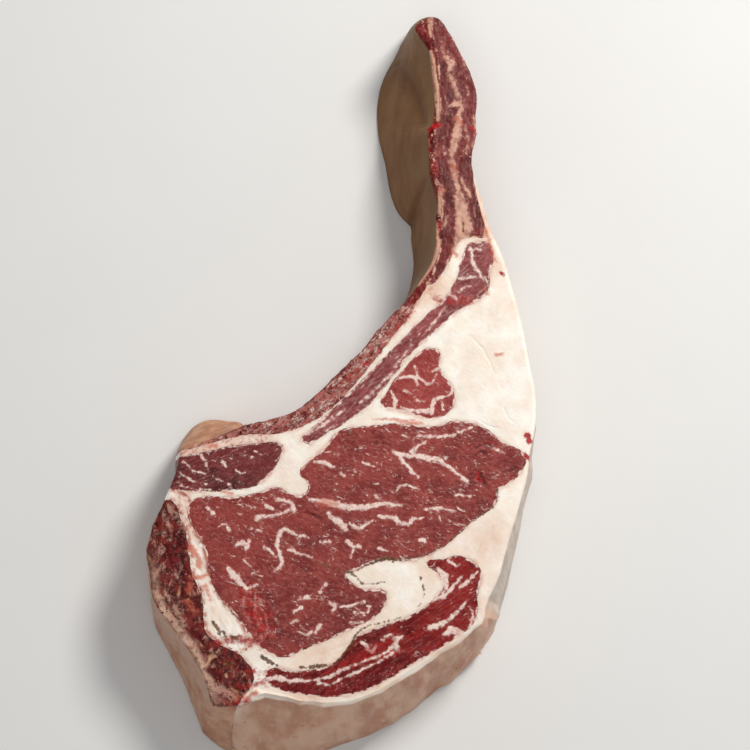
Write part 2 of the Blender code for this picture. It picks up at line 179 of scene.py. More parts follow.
HANDLE_FAT = (
    ((49.5, 198.5, 1.6), (49.5, 192.5, 1.5), (50, 187.5, 0.8)),
    ((55.5, 183.5, 1), (56.5, 182.5, 1)),
    ((49.5, 178, 0.9), (50, 174.5, 1.4), (50.5, 166, 1.9), (52, 159, 1.7), (53, 151.5, 1.9),
     (54, 143.5, 1.9), (53.5, 138, 1.2)),
    ((55, 181, 0.8), (58, 175, 2), (61, 171.5, 2.9), (59.5, 166, 1.6), (62, 160, 2), (64, 154, 1.7),
     (65, 149.5, 1.6), (66.5, 145.5, 1.6), (64.5, 139, 2)),
    ((59, 146, 1), (63.5, 147, 2.4), (69, 146, 1)),
    ((65, 139, 2), (63.5, 129, 2.9), (61.5, 120.5, 2.3), (61, 114.5, 1.7), (62.5, 108.5, 2.1),
     (63, 104, 2.1), (64, 98, 2.2), (65, 91.5, 3.1), (66.5, 84.5, 4.2), (67.5, 76.5, 5.2),
     (66.5, 69.5, 4.6), (64, 63.5, 3.2), (61.5, 58, 2.1), (59, 52, 1.8), (55.5, 45.5, 1.8),
     (50.5, 38, 1.9), (45, 31, 2.1), (38.5, 23, 2), (32, 14.5, 1.6), (26.5, 6.5, 1.3), (21, 0, 1),
     (15, -7, 0.8), (8.5, -11.5, 0.8)),
    ((54.5, 98, 1.3), (55, 89.5, 1.8), (54, 84, 1.4)),
    ((53.5, 78.5, 1.5), (53, 70.5, 1.7), (52.5, 62.5, 1.6), (49.5, 55.5, 1.7), (45, 48.5, 1.6),
     (41.5, 43, 1.3)),
    ((66, 104, 1), (69, 98, 1.8), (72, 92, 0.9)),
    ((58, 81, 1.2), (56.5, 76.5, 1.2)),
    ((51, 122.5, 0.8), (52.5, 117, 0.8)),
    ((52.5, 102, 1.2), (56.5, 97, 1.1)),
    ((75.5, 167, 1.1), (75.5, 159, 0.6)),
    ((73.5, 140, 1.1), (74.5, 132, 1.2), (73, 122.5, 0.8)),
    ((62, 186, 0.5), (66, 178, 0.6), (69, 168, 0.4)),
    ((57, 155, 0.5), (57.5, 148, 0.7), (58, 140, 0.4)),
    ((70, 158, 0.4), (70.5, 150, 0.6)),
    ((56, 128, 0.5), (57, 118, 0.7)),
    ((68, 134, 1), (70, 126, 1.2), (69, 118, 0.7)),
)
SHORT_RIB_FAT = (
    ((70.5, 69.5, 0.9), (71, 62.5, 0.9), (72, 55.5, 1.2), (75, 50, 1.1), (78.5, 45.5, 0.9),
     (81, 41, 0.6)),
    ((64, 46, 0.6), (68.5, 46.5, 0.8), (73.5, 47.5, 0.6)),
    ((65.5, 39.5, 0.6), (68, 41.5, 0.8), (71, 41.5, 0.4)),
    ((73, 62.5, 0.4), (76.5, 63, 0.8)),
    ((62.5, 34.5, 1.1), (59, 37.5, 1.1)),
    ((56.5, 29.5, 0.4), (51.5, 22.5, 0.6), (47.5, 17, 0.4)),
    ((54.5, 16.5, 0.7), (48.5, 11, 0.9), (43, 7.5, 0.8)),
    ((38.5, 8.5, 0.4), (33, 1.5, 0.6), (28.5, -3.5, 0.3)),
    ((27.5, -7, 0.6), (18.5, -16.5, 0.6), (10, -23.5, 0.4)),
    ((1.5, -27.5, 0.6), (-6.5, -33.5, 0.9), (-15, -39.5, 0.8), (-21, -42.5, 0.6)),
    ((-3, -36.5, 0.4), (-9, -39.5, 0.4)),
    ((21, -1, 0.3), (14, -9, 0.3), (5.5, -18, 0.3)),
)
CHINE_MUSCLE_THREADS = (
    ((-86.5, -57, 0.18), (-82, -61.5, 0.18), (-75, -63.5, 0.18)),
    ((-89.5, -62.5, 0.18), (-83, -67, 0.24), (-74, -69.5, 0.18)),
    ((-88, -70, 0.24), (-79.5, -72.5, 0.24), (-71, -72.5, 0.18)),
    ((-77.5, -53, 0.24), (-74.5, -57, 0.36), (-73, -61.5, 0.18)),
    ((-65.5, -56.5, 0.36), (-63.5, -59.5, 0.24)),
    ((-58, -61.5, 0.36), (-55, -63.5, 0.36), (-52, -62.5, 0.18)),
    ((-62, -69.5, 0.36), (-60.5, -72, 0.36)),
    ((-70, -66, 0.18), (-65.5, -67.5, 0.18)),
    ((-47.5, -51.5, 0.18), (-44, -53, 0.18)),
)
BROWN_LINES = (
    ((-14, -112, 0.2), (-8.5, -114, 0.3), (-1, -117, 0.3), (5, -118.5, 0.4)),
    ((2, -118, 0.3), (7, -117, 0.4), (16.5, -112.5, 0.6), (23, -110, 1.1), (30, -110.5, 0.6),
     (34.5, -111, 0.2)),
    ((5, -118, 0.3), (8.5, -121, 0.4), (11, -124, 0.3), (16.5, -124, 0.3), (24, -123, 0.2)),
    ((-2.5, -166.5, 0.4), (2, -161, 0.5), (5.5, -157, 0.6), (6.5, -153.5, 0.6), (10, -149, 0.4),
     (15.5, -146.5, 0.3)),
    ((17.5, -146, 0.3), (20.5, -145.5, 0.3)),
    ((23, -145, 0.3), (26, -144, 0.3)),
    ((28.5, -143.5, 0.3), (32, -142.5, 0.3)),
    ((-22, -169.5, 0.8), (-19, -169, 0.4)),
    ((-16.5, -169, 1.1), (-8.5, -168, 0.8)),
    ((42.5, -120.5, 0.4), (43, -122, 0.4)),
    ((44, -124.5, 0.4), (44.5, -127.5, 0.4)),
    ((44.5, -129.5, 0.4), (44, -131.5, 0.3)),
    ((43, -134.5, 0.3), (41, -136.5, 0.3)),
    ((84.5, -72, 0.3), (85, -76.5, 0.3), (83.5, -81, 0.3), (79.5, -84, 0.3), (72, -89, 0.3),
     (64, -95.5, 0.3), (56, -103, 0.3), (48, -107, 0.2), (37, -110, 0.3), (27, -112, 0.3)),
    ((75.5, 53.5, 0.2), (78, 48, 0.3), (80, 42, 0.3)),
    ((-69.5, -145, 1), (-67, -148, 1.1), (-65.5, -151.5, 0.7)),
    ((-64, -150, 0.8), (-62.5, -152.5, 0.6)),
    ((-59.5, -152.5, 0.6), (-56, -154, 0.7)),
    ((-76.5, -126.5, 0.3), (-75.5, -133, 0.3), (-75, -142.5, 0.3)),
    ((-62.5, -167.5, 0.8), (-57, -167, 0.6)),
    ((-43, -163.5, 0.9), (-38.5, -166.5, 1.1), (-34.5, -168, 0.4)),
    ((-59.5, -185.5, 0.4), (-58, -187.5, 0.3)),
    ((67, 78, 0.4), (67, 73, 0.4)),
)
ORANGE_STAINS = (
    ((-13, -79, 1.0), (-8, -79.3, 1.9), (-3.5, -80.5, 0.9)),
    ((16, -33.5, 0.2), (24, -33, 0.5), (33, -34.8, 1.0), (38, -35.2, 1.4), (43.5, -35.5, 0.9)),
    ((61.5, 61.5, 0.6), (63, 59, 1)),
    ((-82.5, -104, 1.7), (-79, -108.5, 1.9), (-77, -114.5, 1.4)),
    ((-81, -120, 0.9), (-77, -120.5, 1.3), (-72.5, -119, 0.6)),
    ((-74.5, -125, 0.9), (-70.5, -133, 0.8)),
    ((63, 139, 1.1), (66.5, 136.5, 1.3)),
    ((54.5, 97, 1.1), (56, 96.5, 1.1)),
    ((61, 112.5, 0.6), (62.5, 108.5, 0.8), (63, 104, 0.6)),
    ((85, 3, 0.8), (88.5, 3, 0.6)),
    ((79, 73.5, 0.7), (81, 68, 0.7), (85, 55.5, 0.4)),
    ((78.5, 41, 0.8), (80.5, 37.5, 0.9)),
    ((-73.5, -48.5, 0.6), (-68.5, -48, 0.9)),
    ((-66, -73.5, 0.3), (-59.5, -74.8, 0.6)),
    ((-89, -52.5, 0.6), (-83, -50, 0.9)),
    ((-57, -185, 1.7), (-51.5, -186.5, 1.4), (-46, -182.5, 0.9)),
    ((-82, -124.5, 1.7), (-84, -133, 1.7), (-78.5, -139.5, 1.4)),
)
BLOOD = (
    ((73.6, -62.5, 0.4), (74.2, -65.5, 0.9), (76, -67.5, 0.5)),
    ((79, -45.8, 0.3), (81.5, -46.2, 0.5)),
    ((101.5, -42, 1.7), (102.5, -45, 1.9)),
    ((100.5, -53, 1.4), (102, -55, 1.3)),
    ((88, 49.5, 0.9), (89, 48.5, 0.9)),
    ((81.5, 61, 0.6), (82.5, 61, 0.6)),
    ((71.5, 133.5, 0.6), (74, 131.5, 0.9)),
    ((49, 133, 1.1), (53.5, 134.5, 1.3), (55.5, 134.5, 0.8)),
    ((51, 110.5, 0.9), (52.5, 107.5, 0.8)),
    ((53.5, 79.5, 0.4), (54.5, 73.5, 0.4)),
)

# Pale bone along the seam under the sawn edge.
BONE_BAND = (
    ((-82, -50, 1.2), (-72, -48, 1.6), (-60, -46, 1.6), (-45, -44.5, 1.5), (-32, -42.5, 1.2)),
    ((-30, -41, 0.5), (-18, -37, 0.6), (-8, -31, 0.5)),
    ((9, -12, 0.5), (20, 1, 0.7), (30, 14, 0.6), (38, 24, 0.7)),
)
# Sawn bone along the hollow side, from the foot of the handle to the chine.
SAWN_BAND = (
    ((34, 25, 5), (22, 12, 9), (8, -6, 9), (-8, -22, 9), (-24, -33, 8), (-40, -38, 8), (-60, -42, 8),
     (-84, -49, 8)),
)
# Freshly torn, lumpy meat, and wet hollows.
ROUGH_MEAT = (
    ((-51, -127, 4), (-46, -139, 7), (-40, -150, 5)),
    ((30, -160, 2), (12, -166, 3)),
    ((50, 133, 2), (49.5, 122, 2.5), (51, 108, 2)),
    ((62, 33, 2), (70, 34, 2)),
)
HOLLOWS = (
    ((-20, -85.5, 0.8), (-15, -87, 1.2), (-12, -88.5, 0.6)),
    ((66.5, 77.5, 0.4), (66.5, 73, 0.4)),
    ((74.5, -62.5, 0.8), (74, -67, 0.7)),
)
FAT_CREASES = (
    ((89, -27, 0.2), (91, -32.5, 0.3), (94.5, -35, 0.2)),
    ((75.5, -34.5, 0.2), (80, -37, 0.3), (85.5, -38, 0.2)),
    ((70, 14, 0.2), (78, 6, 0.3), (83, -6, 0.2)),
    ((84, -92, 0.2), (76, -101, 0.3), (70, -112, 0.2)),
    ((10, -155, 0.2), (0, -158, 0.3), (-12, -163, 0.2)),
    ((33, -122, 0.2), (30, -130, 0.3), (22, -134, 0.2)),
)
# Lip of fat that curls over the lower end.
RAISED_LIP = (
    ((-48, -182, 0.8), (-40, -184.5, 1.8), (-30, -187, 2), (-20, -190, 1.4)),
)
# Valleys in the membrane on the inner side of the rib, sunk in the relief and painted darker as shade.
MEMBRANE_VALLEYS = (
    ((31, 183, 1), (38, 168, 1.6), (42.5, 153, 1.6), (44.5, 138, 1)),
    ((46, 103, 0.8), (39, 89.5, 1.4), (36.5, 84, 1)),
)
FRESH_RED = (
    ((-68, -155.5, 1.4), (-58, -154.5, 2.4), (-47, -154.5, 2.2), (-44, -158, 1.2)),
    ((-52, -131, 0.2), (-47, -140, 1.2), (-42, -149, 1.4)),
    ((37, -154, 1.6), (42.5, -150, 1.8)),
    ((-8, -172, 1), (4, -166.5, 2.4), (16, -160, 3), (27, -155, 2)),
    ((48.5, 133, 1), (54, 134.5, 0.8)),
    ((50, 35, 1.2), (57, 33.5, 1.8), (65, 35, 1.8), (70, 32, 1)),
    ((-60, -189, 1.6), (-51, -187, 1.8)),
    ((-55, -180, 1.2), (-48, -178.5, 1.8), (-41, -178, 1.4)),
    ((-51, -171, 0.8), (-45, -172, 1.2), (-39, -171.5, 0.8)),
    ((-5, -17, 0.8), (4, -9, 1.6), (14, -1, 1.4), (21, 5, 0.8)),
    ((25, 14, 0.6), (31, 20, 1.6), (38, 27, 1.0)),
)
# Soft patches of tone: x, y, radius, strength; plus is paler and pinker, minus is deeper.
TONE_SPOTS = (
    (-60, -92, 22, 0.12), (20, -50, 25, 0.08), (0, -140, 22, -0.06), (-46, -139, 10, -0.12),
    (60, -60, 20, 0.05), (5, -160, 22, -0.2), (60, -125, 16, 0.22), (70, 125, 8, 0.25),
    (45, -15, 14, 0.05), (48, 40, 9, 0.5), (-35, -60, 14, 0.3), (-26, -66, 12, 0.1), (95, -25, 20, -0.3),
    (-84, -90, 9, 0.4), (-87, -51, 6, 0.45), (-76, -50, 8, 0.55), (-60, -46, 9, 0.55),
    (-44, -43, 8, 0.45), (-88, -76, 8, 0.45), (36, 22, 8, 0.4),
)
# Dark clots, on the chine and in the cap.
DARK_CLOTS = (
    ((-81, -149, 1.4), (-75, -155, 2.0)),
    ((-91, -97, 0.6), (-94, -107, 1.0), (-91, -116, 0.8)),
    ((-72, -170, 1.4), (-66, -174, 1.6)),
    ((-74, -60, 0.6), (-66, -62, 0.8)),
    ((72.5, -49.5, 0.5), (77, -47, 0.8), (80.5, -47, 1.1), (83, -49, 0.6)),
    ((73, -53, 0.4), (76, -51, 0.7), (80, -52, 0.4)),
    ((75.5, -64, 0.6), (77.5, -68.5, 0.9), (80, -71, 0.4)),
    ((91.5, -61.5, 0.4), (95, -60.5, 0.7), (98.5, -61.5, 0.4)),
    ((-19, -84, 0.3), (-15, -86.5, 0.6), (-11, -88, 0.3)),
    ((-87, -126, 1.2), (-84, -131, 1.6)),
    ((50, 131, 1.6), (50.5, 121, 1.8)),
    ((53, 83, 1), (55, 70, 1.4)),
)
# Every kind of stain: its strokes, and how far, how broadly and by which noise they are pushed about.
STAINS = (
    ("brown_line", BROWN_LINES, 0.2, 2.0, 91),
    ("orange_stain", ORANGE_STAINS, 1.0, 3.0, 92),
    ("blood", BLOOD, 0.5, 2.5, 93),
    ("fresh_red", FRESH_RED, 0.8, 3.0, 94),
    ("dark_clot", DARK_CLOTS, 0.8, 4.0, 95),
)
# White streaks, lumps and a cream knob in the chine.
CHINE_FAT = (
    ((-97.5, -84, 0.7), (-95, -90, 1.1), (-92.5, -99, 0.7)),
    ((-94.5, -80, 0.5), (-90, -86, 1), (-86, -93, 0.9)),
    ((-100, -110, 0.7), (-98, -103, 0.8)),
    ((-91, -136, 1.6), (-88, -140, 2), (-85, -146, 1.4)),
    ((-96, -128, 1.1), (-93, -133, 1.3)),
    ((-71, -179, 2), (-64, -181, 2.6), (-58, -186, 2)),
    ((-77, -165, 0.9), (-74, -169, 1.2)),
)
# Fat that has dried to a tan: x, y, radius, strength.
WARM_SPOTS = (
    (80, 78, 11, 0.9), (86, 52, 9, 0.45), (79, 98, 9, 0.9), (92, 30, 9, 0.25), (52, 42, 8, 0.4),
    (45, 32, 8, 0.35), (-72, -40, 12, 0.4), (72, -108, 14, 0.25), (10, -146, 20, 0.35), (50, -116, 10, 0.3),
    (-12, -165, 14, 0.5), (82, -98, 14, 0.3), (-20, -190, 12, 0.6), (22, -182, 14, 0.4),
    (58, -162, 12, 0.5), (80, -136, 9, 0.4),
)
# Where the chine's outer edge is a pale strip.
PALE_EDGE_SPOTS = ((-101, -122, 10, 0.6), (-97, -140, 13, 1.0), (-88, -160, 14, 1.0), (-78, -178, 14, 1.0))
# Where tags of meat stand on the handle's edges.
HANDLE_EDGES = (
    ((50, 172, 0.8), (52, 150, 0.8), (51, 130, 1), (50, 118, 1), (53, 98, 1), (54, 82, 1), (52, 64, 1)),
    ((74, 168, 0.6), (75.5, 150, 1), (74.5, 130, 1), (72.5, 115, 1)),
    ((44, 195, 1), (50, 197, 1.2), (55, 194, 1)),
)
# Where specks of fat lie on the eye.
SPECKED_EYE = (
    ((-55, -95, 14), (-30, -90, 14)), ((-46, -139, 8), (-44, -128, 8)), ((0, -90, 10), (20, -80, 8)),
)

# The kinds of outer wall: relief in mm as broad swells, lumps, crumbs and upright folds, and a
# line along the walls where the kind shows.
WALLS = {
    "membrane": ((0.5, 0.12, 0.03, 0.0), (
        (43, 206), (38, 192), (37, 175), (38, 155), (40, 132), (43, 110), (43, 80), (42, 62), (38, 47),
    )),
    "sawn_rib": ((0.5, 0.6, 0.25, 0.0), (
        (31, 30), (21, 19), (8, 3), (-7, -12), (-23, -27), (-36, -31), (-48, -33),
    )),
    "chine_bump": ((0.5, 0.2, 0.08, 0.0), ((-60, -32), (-73, -30), (-84, -34), (-90, -46))),
    "chine": ((0.6, 0.35, 0.06, 0.3), (
        (-91, -60), (-100, -86), (-105, -106), (-104, -125), (-97, -146), (-85, -165), (-76, -185),
        (-70, -196),
    )),
    "lower_end": ((0.9, 0.3, 0.04, 1.6), (
        (-60, -203), (-43, -202), (-22, -202), (0, -199), (20, -191), (37, -181), (54, -170),
        (70, -157), (79, -146),
    )),
    "outer_fat": ((0.5, 0.18, 0.08, 0.0), (
        (85, -130), (92, -110), (99, -80), (104, -57), (106, -36), (105, -19), (101, 0), (97, 19),
        (91, 39), (85, 58), (77, 73), (71, 88), (67, 103),
    )),
    "handle_side": ((0.4, 0.5, 0.25, 0.0), (
        (76, 117), (78, 130), (78, 142), (78, 155), (75, 168), (70, 183), (62, 200),
    )),
}
SWELL_SIZE = 16.0
LUMP_SIZE = 5.0
CRUMB_SIZE = 2.4
FOLD_SIZE = 11.0


# ---- noise and drawn strokes ----

def noise_field(points, size, seed):
    """Smooth seeded noise at the points, about -1 to 1, with bumps of the given size."""
    maker = np.random.default_rng(seed)
    order = maker.permutation(256)
    order = np.concatenate((order, order))
    slopes = maker.normal(size=(256, 3))
    slopes /= np.linalg.norm(slopes, axis=1)[:, None]
    spots = points / size + NOISE_SHIFT
    cell = np.floor(spots).astype(int)
    inside = spots - cell
    ease = inside ** 3 * (inside * (inside * 6 - 15) + 10)
    total = np.zeros(len(points))
    for corner in itertools.product((0, 1), repeat=3):
        corner = np.array(corner)
        knot = (cell + corner) & 255
        key = order[order[order[knot[:, 0]] + knot[:, 1]] + knot[:, 2]]
        pull = ((inside - corner) * slopes[key]).sum(axis=1)
        total += pull * np.where(corner, ease, 1 - ease).prod(axis=1)
    return np.clip(total * NOISE_GAIN, -1, 1)


def layered_noise(points, size, seed, layers=3):
    """Noise with ever finer layers, each half as strong as the one before."""
    total = np.zeros(len(points))
    for layer in range(layers):
        total += noise_field(points, size / 2 ** layer, seed + layer) / 2 ** layer
    return total


def smooth_step(value, low, high):
    share = np.clip((value - low) / (high - low), 0, 1)
    return share * share * (3 - 2 * share)


def stroke_field(flat, strokes, reach=FAR):
    """Half width minus distance, in mm, for the nearest stroke: positive inside a stroke."""
    field = np.full(len(flat), -reach)
    for stroke in strokes:
        knots = np.array(stroke, float)
        for start, end in zip(knots[:-1], knots[1:]):
            room = max(start[2], end[2]) + reach
            low = np.minimum(start, end)[:2] - room
            high = np.maximum(start, end)[:2] + room
            near = np.nonzero(((flat > low) & (flat < high)).all(axis=1))[0]
            if len(near) == 0:
                continue
            along = end[:2] - start[:2]
            away = flat[near] - start[:2]
            share = np.clip(away @ along / max(along @ along, 1e-9), 0, 1)
            gap = np.linalg.norm(away - share[:, None] * along, axis=1)
            value = start[2] + share * (end[2] - start[2]) - gap
            field[near] = np.maximum(field[near], value)
    return field


def grown_field(points, strokes, push, size, seed, reach=FAR):
    """The field of strokes that noise pushes about, so that they look grown."""
    flat = points[:, :2].copy()
    level = points * (1, 1, 0)
    flat[:, 0] += push * noise_field(level, size, seed)
    flat[:, 1] += push * noise_field(level, size, seed + 50)
    return stroke_field(flat, strokes, reach)


def vein_field(points, strokes, reach):
    return grown_field(points, strokes, 0.35, 3.0, 34, reach)


def valley_field(points):
    return grown_field(points, MEMBRANE_VALLEYS, 0.8, 8.0, 21)


def rough_share(points):
    """1 where the meat is torn and lumpy, 0 where it is cut clean."""
    return smooth_step(grown_field(points, ROUGH_MEAT, 1.5, 6.0, 42), -2.0, 2.5)


def sawn_share(points):
    """1 on the sawn bone, 0 on the handle's meat."""
    return smooth_step(grown_field(points, SAWN_BAND, 2.0, 8.0, 81, WIDE), -5.0, 1.0)


def glow(flat, spots):
    """Soft patches, each x, y, radius and strength."""
    total = np.zeros(len(flat))
    for x, y, radius, strength in spots:
        gap = np.hypot(flat[:, 0] - x, flat[:, 1] - y)
        total += strength * np.exp(-(gap / radius) ** 2)
    return total


def wall_shares(flat):
    """How much of each kind of outer wall a plan place belongs to; the shares add up to 1."""
    shares = {}
    for kind, (_, path) in WALLS.items():
        stroke = [(x, y, 0.0) for x, y in path]
        shares[kind] = np.exp(stroke_field(flat, [stroke], ANYWHERE) / WALL_BLEND)
    total = sum(shares.values()) + 1e-30
    return {kind: share / total for kind, share in shares.items()}


# ---- the solids of the frame, opened at their seams ----

def cad_copy(name):
    """The solid's mesh with its loose triangles welded."""
    solid = bmesh.new()
    solid.from_mesh(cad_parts[name].data)
    bmesh.ops.remove_doubles(solid, verts=solid.verts, dist=WELD * MM)
    solid.normal_update()
    return solid


def seam_faces(name, solid, trees):
    """Walls of the solid that have a neighbouring solid close in front of them."""
    seams = set()
    others = [tree for other, tree in trees.items() if other != name]
    for face in solid.faces:
        if abs(face.normal.z) > FLAT:
            continue
        centre = face.calc_center_median()
        hits = (tree.ray_cast(centre, face.normal, SEAM_REACH * MM)[0] for tree in others)
        if any(hit is not None for hit in hits):
            seams.add(face)
    return seams


def edge_stroke(edge):
    """The edge as a stroke of no width."""
    return [(vert.co.x / MM, vert.co.y / MM, 0.0) for vert in edge.verts]


def rim_strokes(solid, seams):
    """Edges of the outer wall at the height where the rim begins to round."""
    strokes = []
    for edge in solid.edges:
        if all(abs(vert.co.z / MM - RIM_RING) < RING_GAP for vert in edge.verts):
            if not any(face in seams for face in edge.link_faces):
                strokes.append(edge_stroke(edge))
    return strokes


def seam_strokes(solid, seams):
    """Edges between the cut face and the seams."""
    strokes = []
    for edge in solid.edges:
        faces = list(edge.link_faces)
        if len(faces) != 2:
            continue
        for flat_face, side in (faces, faces[::-1]):
            if flat_face.normal.z > FLAT and side in seams:
                strokes.append(edge_stroke(edge))
    return strokes


def spread_seams(solid, seams):
    """Moves the seams sideways, into the neighbours, without standing proud of the outer walls."""
    moves = []
    for vert in solid.verts:
        inner = Vector((0, 0, 0))
        outer = Vector((0, 0, 0))
        for loop in vert.link_loops:
            sideways = Vector((loop.face.normal.x, loop.face.normal.y, 0))
            if sideways.length < LEAST_SLOPE:
                continue
            side = inner if loop.face in seams else outer
            side += sideways.normalized() * loop.calc_angle()
        if inner.length < 1e-6:
            continue
        way = inner.normalized()
        if outer.length > 1e-6:
            side = outer.normalized()
            way -= side * way.dot(side)
        moves.append((vert, way * OVERLAP * MM))
    for vert, move in moves:
        vert.co += move


def open_shell(solid, seams):
    """The walls without the cut faces: places in mm, triangles, and which of them are outer walls."""
    solid.verts.index_update()
    places = np.array([vert.co for vert in solid.verts]) / MM
    triangles = []
    outer = []
    for face in solid.faces:
        heights = [vert.co.z / MM for vert in face.verts]
        front = face.normal.z > FLAT and min(heights) > RIM_RING + LEVEL_GAP
        back = face.normal.z < -FLAT and max(heights) < LEVEL_GAP
        if not (front or back):
            triangles.append([vert.index for vert in face.verts])
            outer.append(face not in seams)
    return places, np.array(triangles), np.array(outer)


def edge_table(triangles):
    """Every edge once, as sorted pairs, and the three edges of each triangle."""
    sides = np.stack([triangles, np.roll(triangles, -1, axis=1)], axis=-1)
    edges, owned = np.unique(np.sort(sides, axis=-1).reshape(-1, 2), axis=0, return_inverse=True)
    return edges, owned.reshape(-1, 3)


def open_edges(places, edges, owned):
    """Which edges have one triangle only, at the front hole and at the back one."""
    lonely = np.bincount(owned.ravel(), minlength=len(edges)) == 1
    high = places[edges[:, 0], 2] > FACE / 2
    return lonely & high, lonely & ~high


def split_triangle(places, corners, cuts):
    """The triangle's parts, where cuts holds the new middle of each side, or -1."""
    count = sum(cut >= 0 for cut in cuts)
    if count == 0:
        return [corners]
    if count == 3:
        (a, b, c), (ab, bc, ca) = corners, cuts
        return [(a, ab, ca), (ab, b, bc), (ca, bc, c), (ab, bc, ca)]
    # Turn the triangle so that its first edge is cut, and its last one is not.
    turn = next(step for step in range(3) if cuts[step] >= 0 and cuts[step - 1] < 0)
    a, b, c = corners[turn:] + corners[:turn]
    ab, bc, _ = cuts[turn:] + cuts[:turn]
    if count == 1:
        return [(a, ab, c), (ab, b, c)]
    if np.sum((places[ab] - places[c]) ** 2) < np.sum((places[a] - places[bc]) ** 2):
        return [(ab, b, bc), (ab, bc, c), (a, ab, c)]
    return [(ab, b, bc), (a, ab, bc), (a, bc, c)]


def split_once(places, triangles, outer):
    """Halves the long edges of the outer walls and of both rims.  Returns None when none is long."""
    edges, owned = edge_table(triangles)
    starts, ends = places[edges[:, 0]], places[edges[:, 1]]
    length = np.linalg.norm(ends - starts, axis=1)
    on_wall = np.zeros(len(edges), bool)
    on_wall[owned[outer]] = True
    front, back = open_edges(places, edges, owned)
    halved = on_wall & (length > WALL_STEP)
    halved |= front & (length > FRONT_RIM_STEP)
    halved |= back & (length > BACK_RIM_STEP)
    if not halved.any():
        return None
    middle = np.full(len(edges), -1)
    middle[halved] = len(places) + np.arange(halved.sum())
    places = np.vstack((places, (starts[halved] + ends[halved]) / 2))
    result = []
    marks = []
    for corners, sides, mark in zip(triangles.tolist(), middle[owned].tolist(), outer.tolist()):
        parts = split_triangle(places, corners, sides)
        result += parts
        marks += [mark] * len(parts)
    return places, np.array(result), np.array(marks)


def refine(places, triangles, outer):
    """Splits long edges until none is left."""
    for _ in range(MOST_SPLITS):
        finer = split_once(places, triangles, outer)
        if finer is None:
            break
        places, triangles, outer = finer
    return places, triangles, outer


def wall_relief(points):
    """How far the outer wall stands out at each point, in mm."""
    shares = wall_shares(points[:, :2])
    swell = noise_field(points, SWELL_SIZE, 11)
    lump = noise_field(points, LUMP_SIZE, 12)
    crumb = layered_noise(points, CRUMB_SIZE, 13, 2)
    fold = noise_field(points * (1, 1, 0.12), FOLD_SIZE, 16)
    relief = np.zeros(len(points))
    for kind, ((broad, lumpy, crumbly, folded), _) in WALLS.items():
        relief += shares[kind] * (broad * swell + lumpy * lump + crumbly * crumb + folded * fold)
    relief -= shares["membrane"] * VALLEY_DEPTH * smooth_step(valley_field(points), -2.5, 1.5)
    below_rim = smooth_step(FACE - points[:, 2], 0.0, 4.0)
    above_floor = smooth_step(points[:, 2], 0.0, 3.0)
    return relief * (0.35 + 0.65 * below_rim) * (0.4 + 0.6 * above_floor)


def roughen_walls(places, triangles):
    """Moves the points of the outer walls in and out, sideways only."""
    if len(triangles) == 0:
        return
    first, second, third = (places[triangles[:, corner]] for corner in range(3))
    normals = np.cross(second - first, third - first)
    normals[:, 2] = 0
    ways = np.zeros_like(places)
    for corner in range(3):
        np.add.at(ways, triangles[:, corner], normals)
    used = np.unique(triangles)
    ways = ways[used] / (np.linalg.norm(ways[used], axis=1)[:, None] + 1e-12)
    places[used] += ways * wall_relief(places[used])[:, None]


# ---- the cut faces, filled again with a fine net in relief ----

def rim_edges(places, triangles):
    """The edges round the holes where the front and the back cut face were."""
    edges, owned = edge_table(triangles)
    return [edges[chosen] for chosen in open_edges(places, edges, owned)]


def fray(places, rim, wall_points):
    """Pushes the seam's upper edge about a little, so that muscle and fat meet in a grown line."""
    around = np.unique(rim)
    loose = np.setdiff1d(around, wall_points)
    fixed = np.intersect1d(around, wall_points)
    points = places[loose] * (1, 1, 0)
    room = np.full(len(loose), FAR)
    for spot in places[fixed]:
        room = np.minimum(room, np.hypot(points[:, 0] - spot[0], points[:, 1] - spot[1]))
    push = FRAY * smooth_step(room, 0.0, FAR)
    for axis, seed in ((0, 25), (1, 27)):
        places[loose, axis] += push * layered_noise(points, FRAY_SIZE, seed, 2)


def crossings(flat, lines, level):
    """Where the outline crosses a level of y, sorted along x."""
    starts, ends = flat[lines[:, 0]], flat[lines[:, 1]]
    crossed = (starts[:, 1] > level) != (ends[:, 1] > level)
    starts, ends = starts[crossed], ends[crossed]
    share = (level - starts[:, 1]) / (ends[:, 1] - starts[:, 1])
    return np.sort(starts[:, 0] + share * (ends[:, 0] - starts[:, 0]))


def net_points(flat, lines, step):
    """Staggered rows of points inside an outline, none close to its edges."""
    rows = []
    low, high = flat.min(axis=0), flat.max(axis=0)
    levels = np.arange(low[1] + step / 2, high[1], step * ROW_HEIGHT)
    for number, level in enumerate(levels):
        xs = np.arange(low[0] + (number % 2) * step / 2, high[0], step)
        passed = np.searchsorted(crossings(flat, lines, level), xs)
        xs = xs[passed % 2 == 1]
        rows.append(np.column_stack((xs, np.full(len(xs), level))))
    points = np.vstack(rows)
    edges = [((*flat[first], 0.0), (*flat[second], 0.0)) for first, second in lines]
    return points[stroke_field(points, edges, step) < -EDGE_ROOM * step]


def inside_outline(triangles, rim_count, lines):
    """The triangles inside an outline: each step over one of its edges leads in or out."""
    fence = {tuple(sorted(line)) for line in lines.tolist()}
    sides = [
        [tuple(sorted(side)) for side in ((a, b), (b, c), (c, a))] for a, b, c in triangles
    ]
    owners = {}
    for index, three in enumerate(sides):
        for side in three:
            owners.setdefault(side, []).append(index)
    state = {index: True for index, corners in enumerate(triangles) if max(corners) >= rim_count}
    queue = list(state)
    while queue:
        index = queue.pop()
        for side in sides[index]:
            for other in owners[side]:
                if other not in state:
                    state[other] = state[index] != (side in fence)
                    queue.append(other)
    return [corners for index, corners in enumerate(triangles) if state.get(index)]


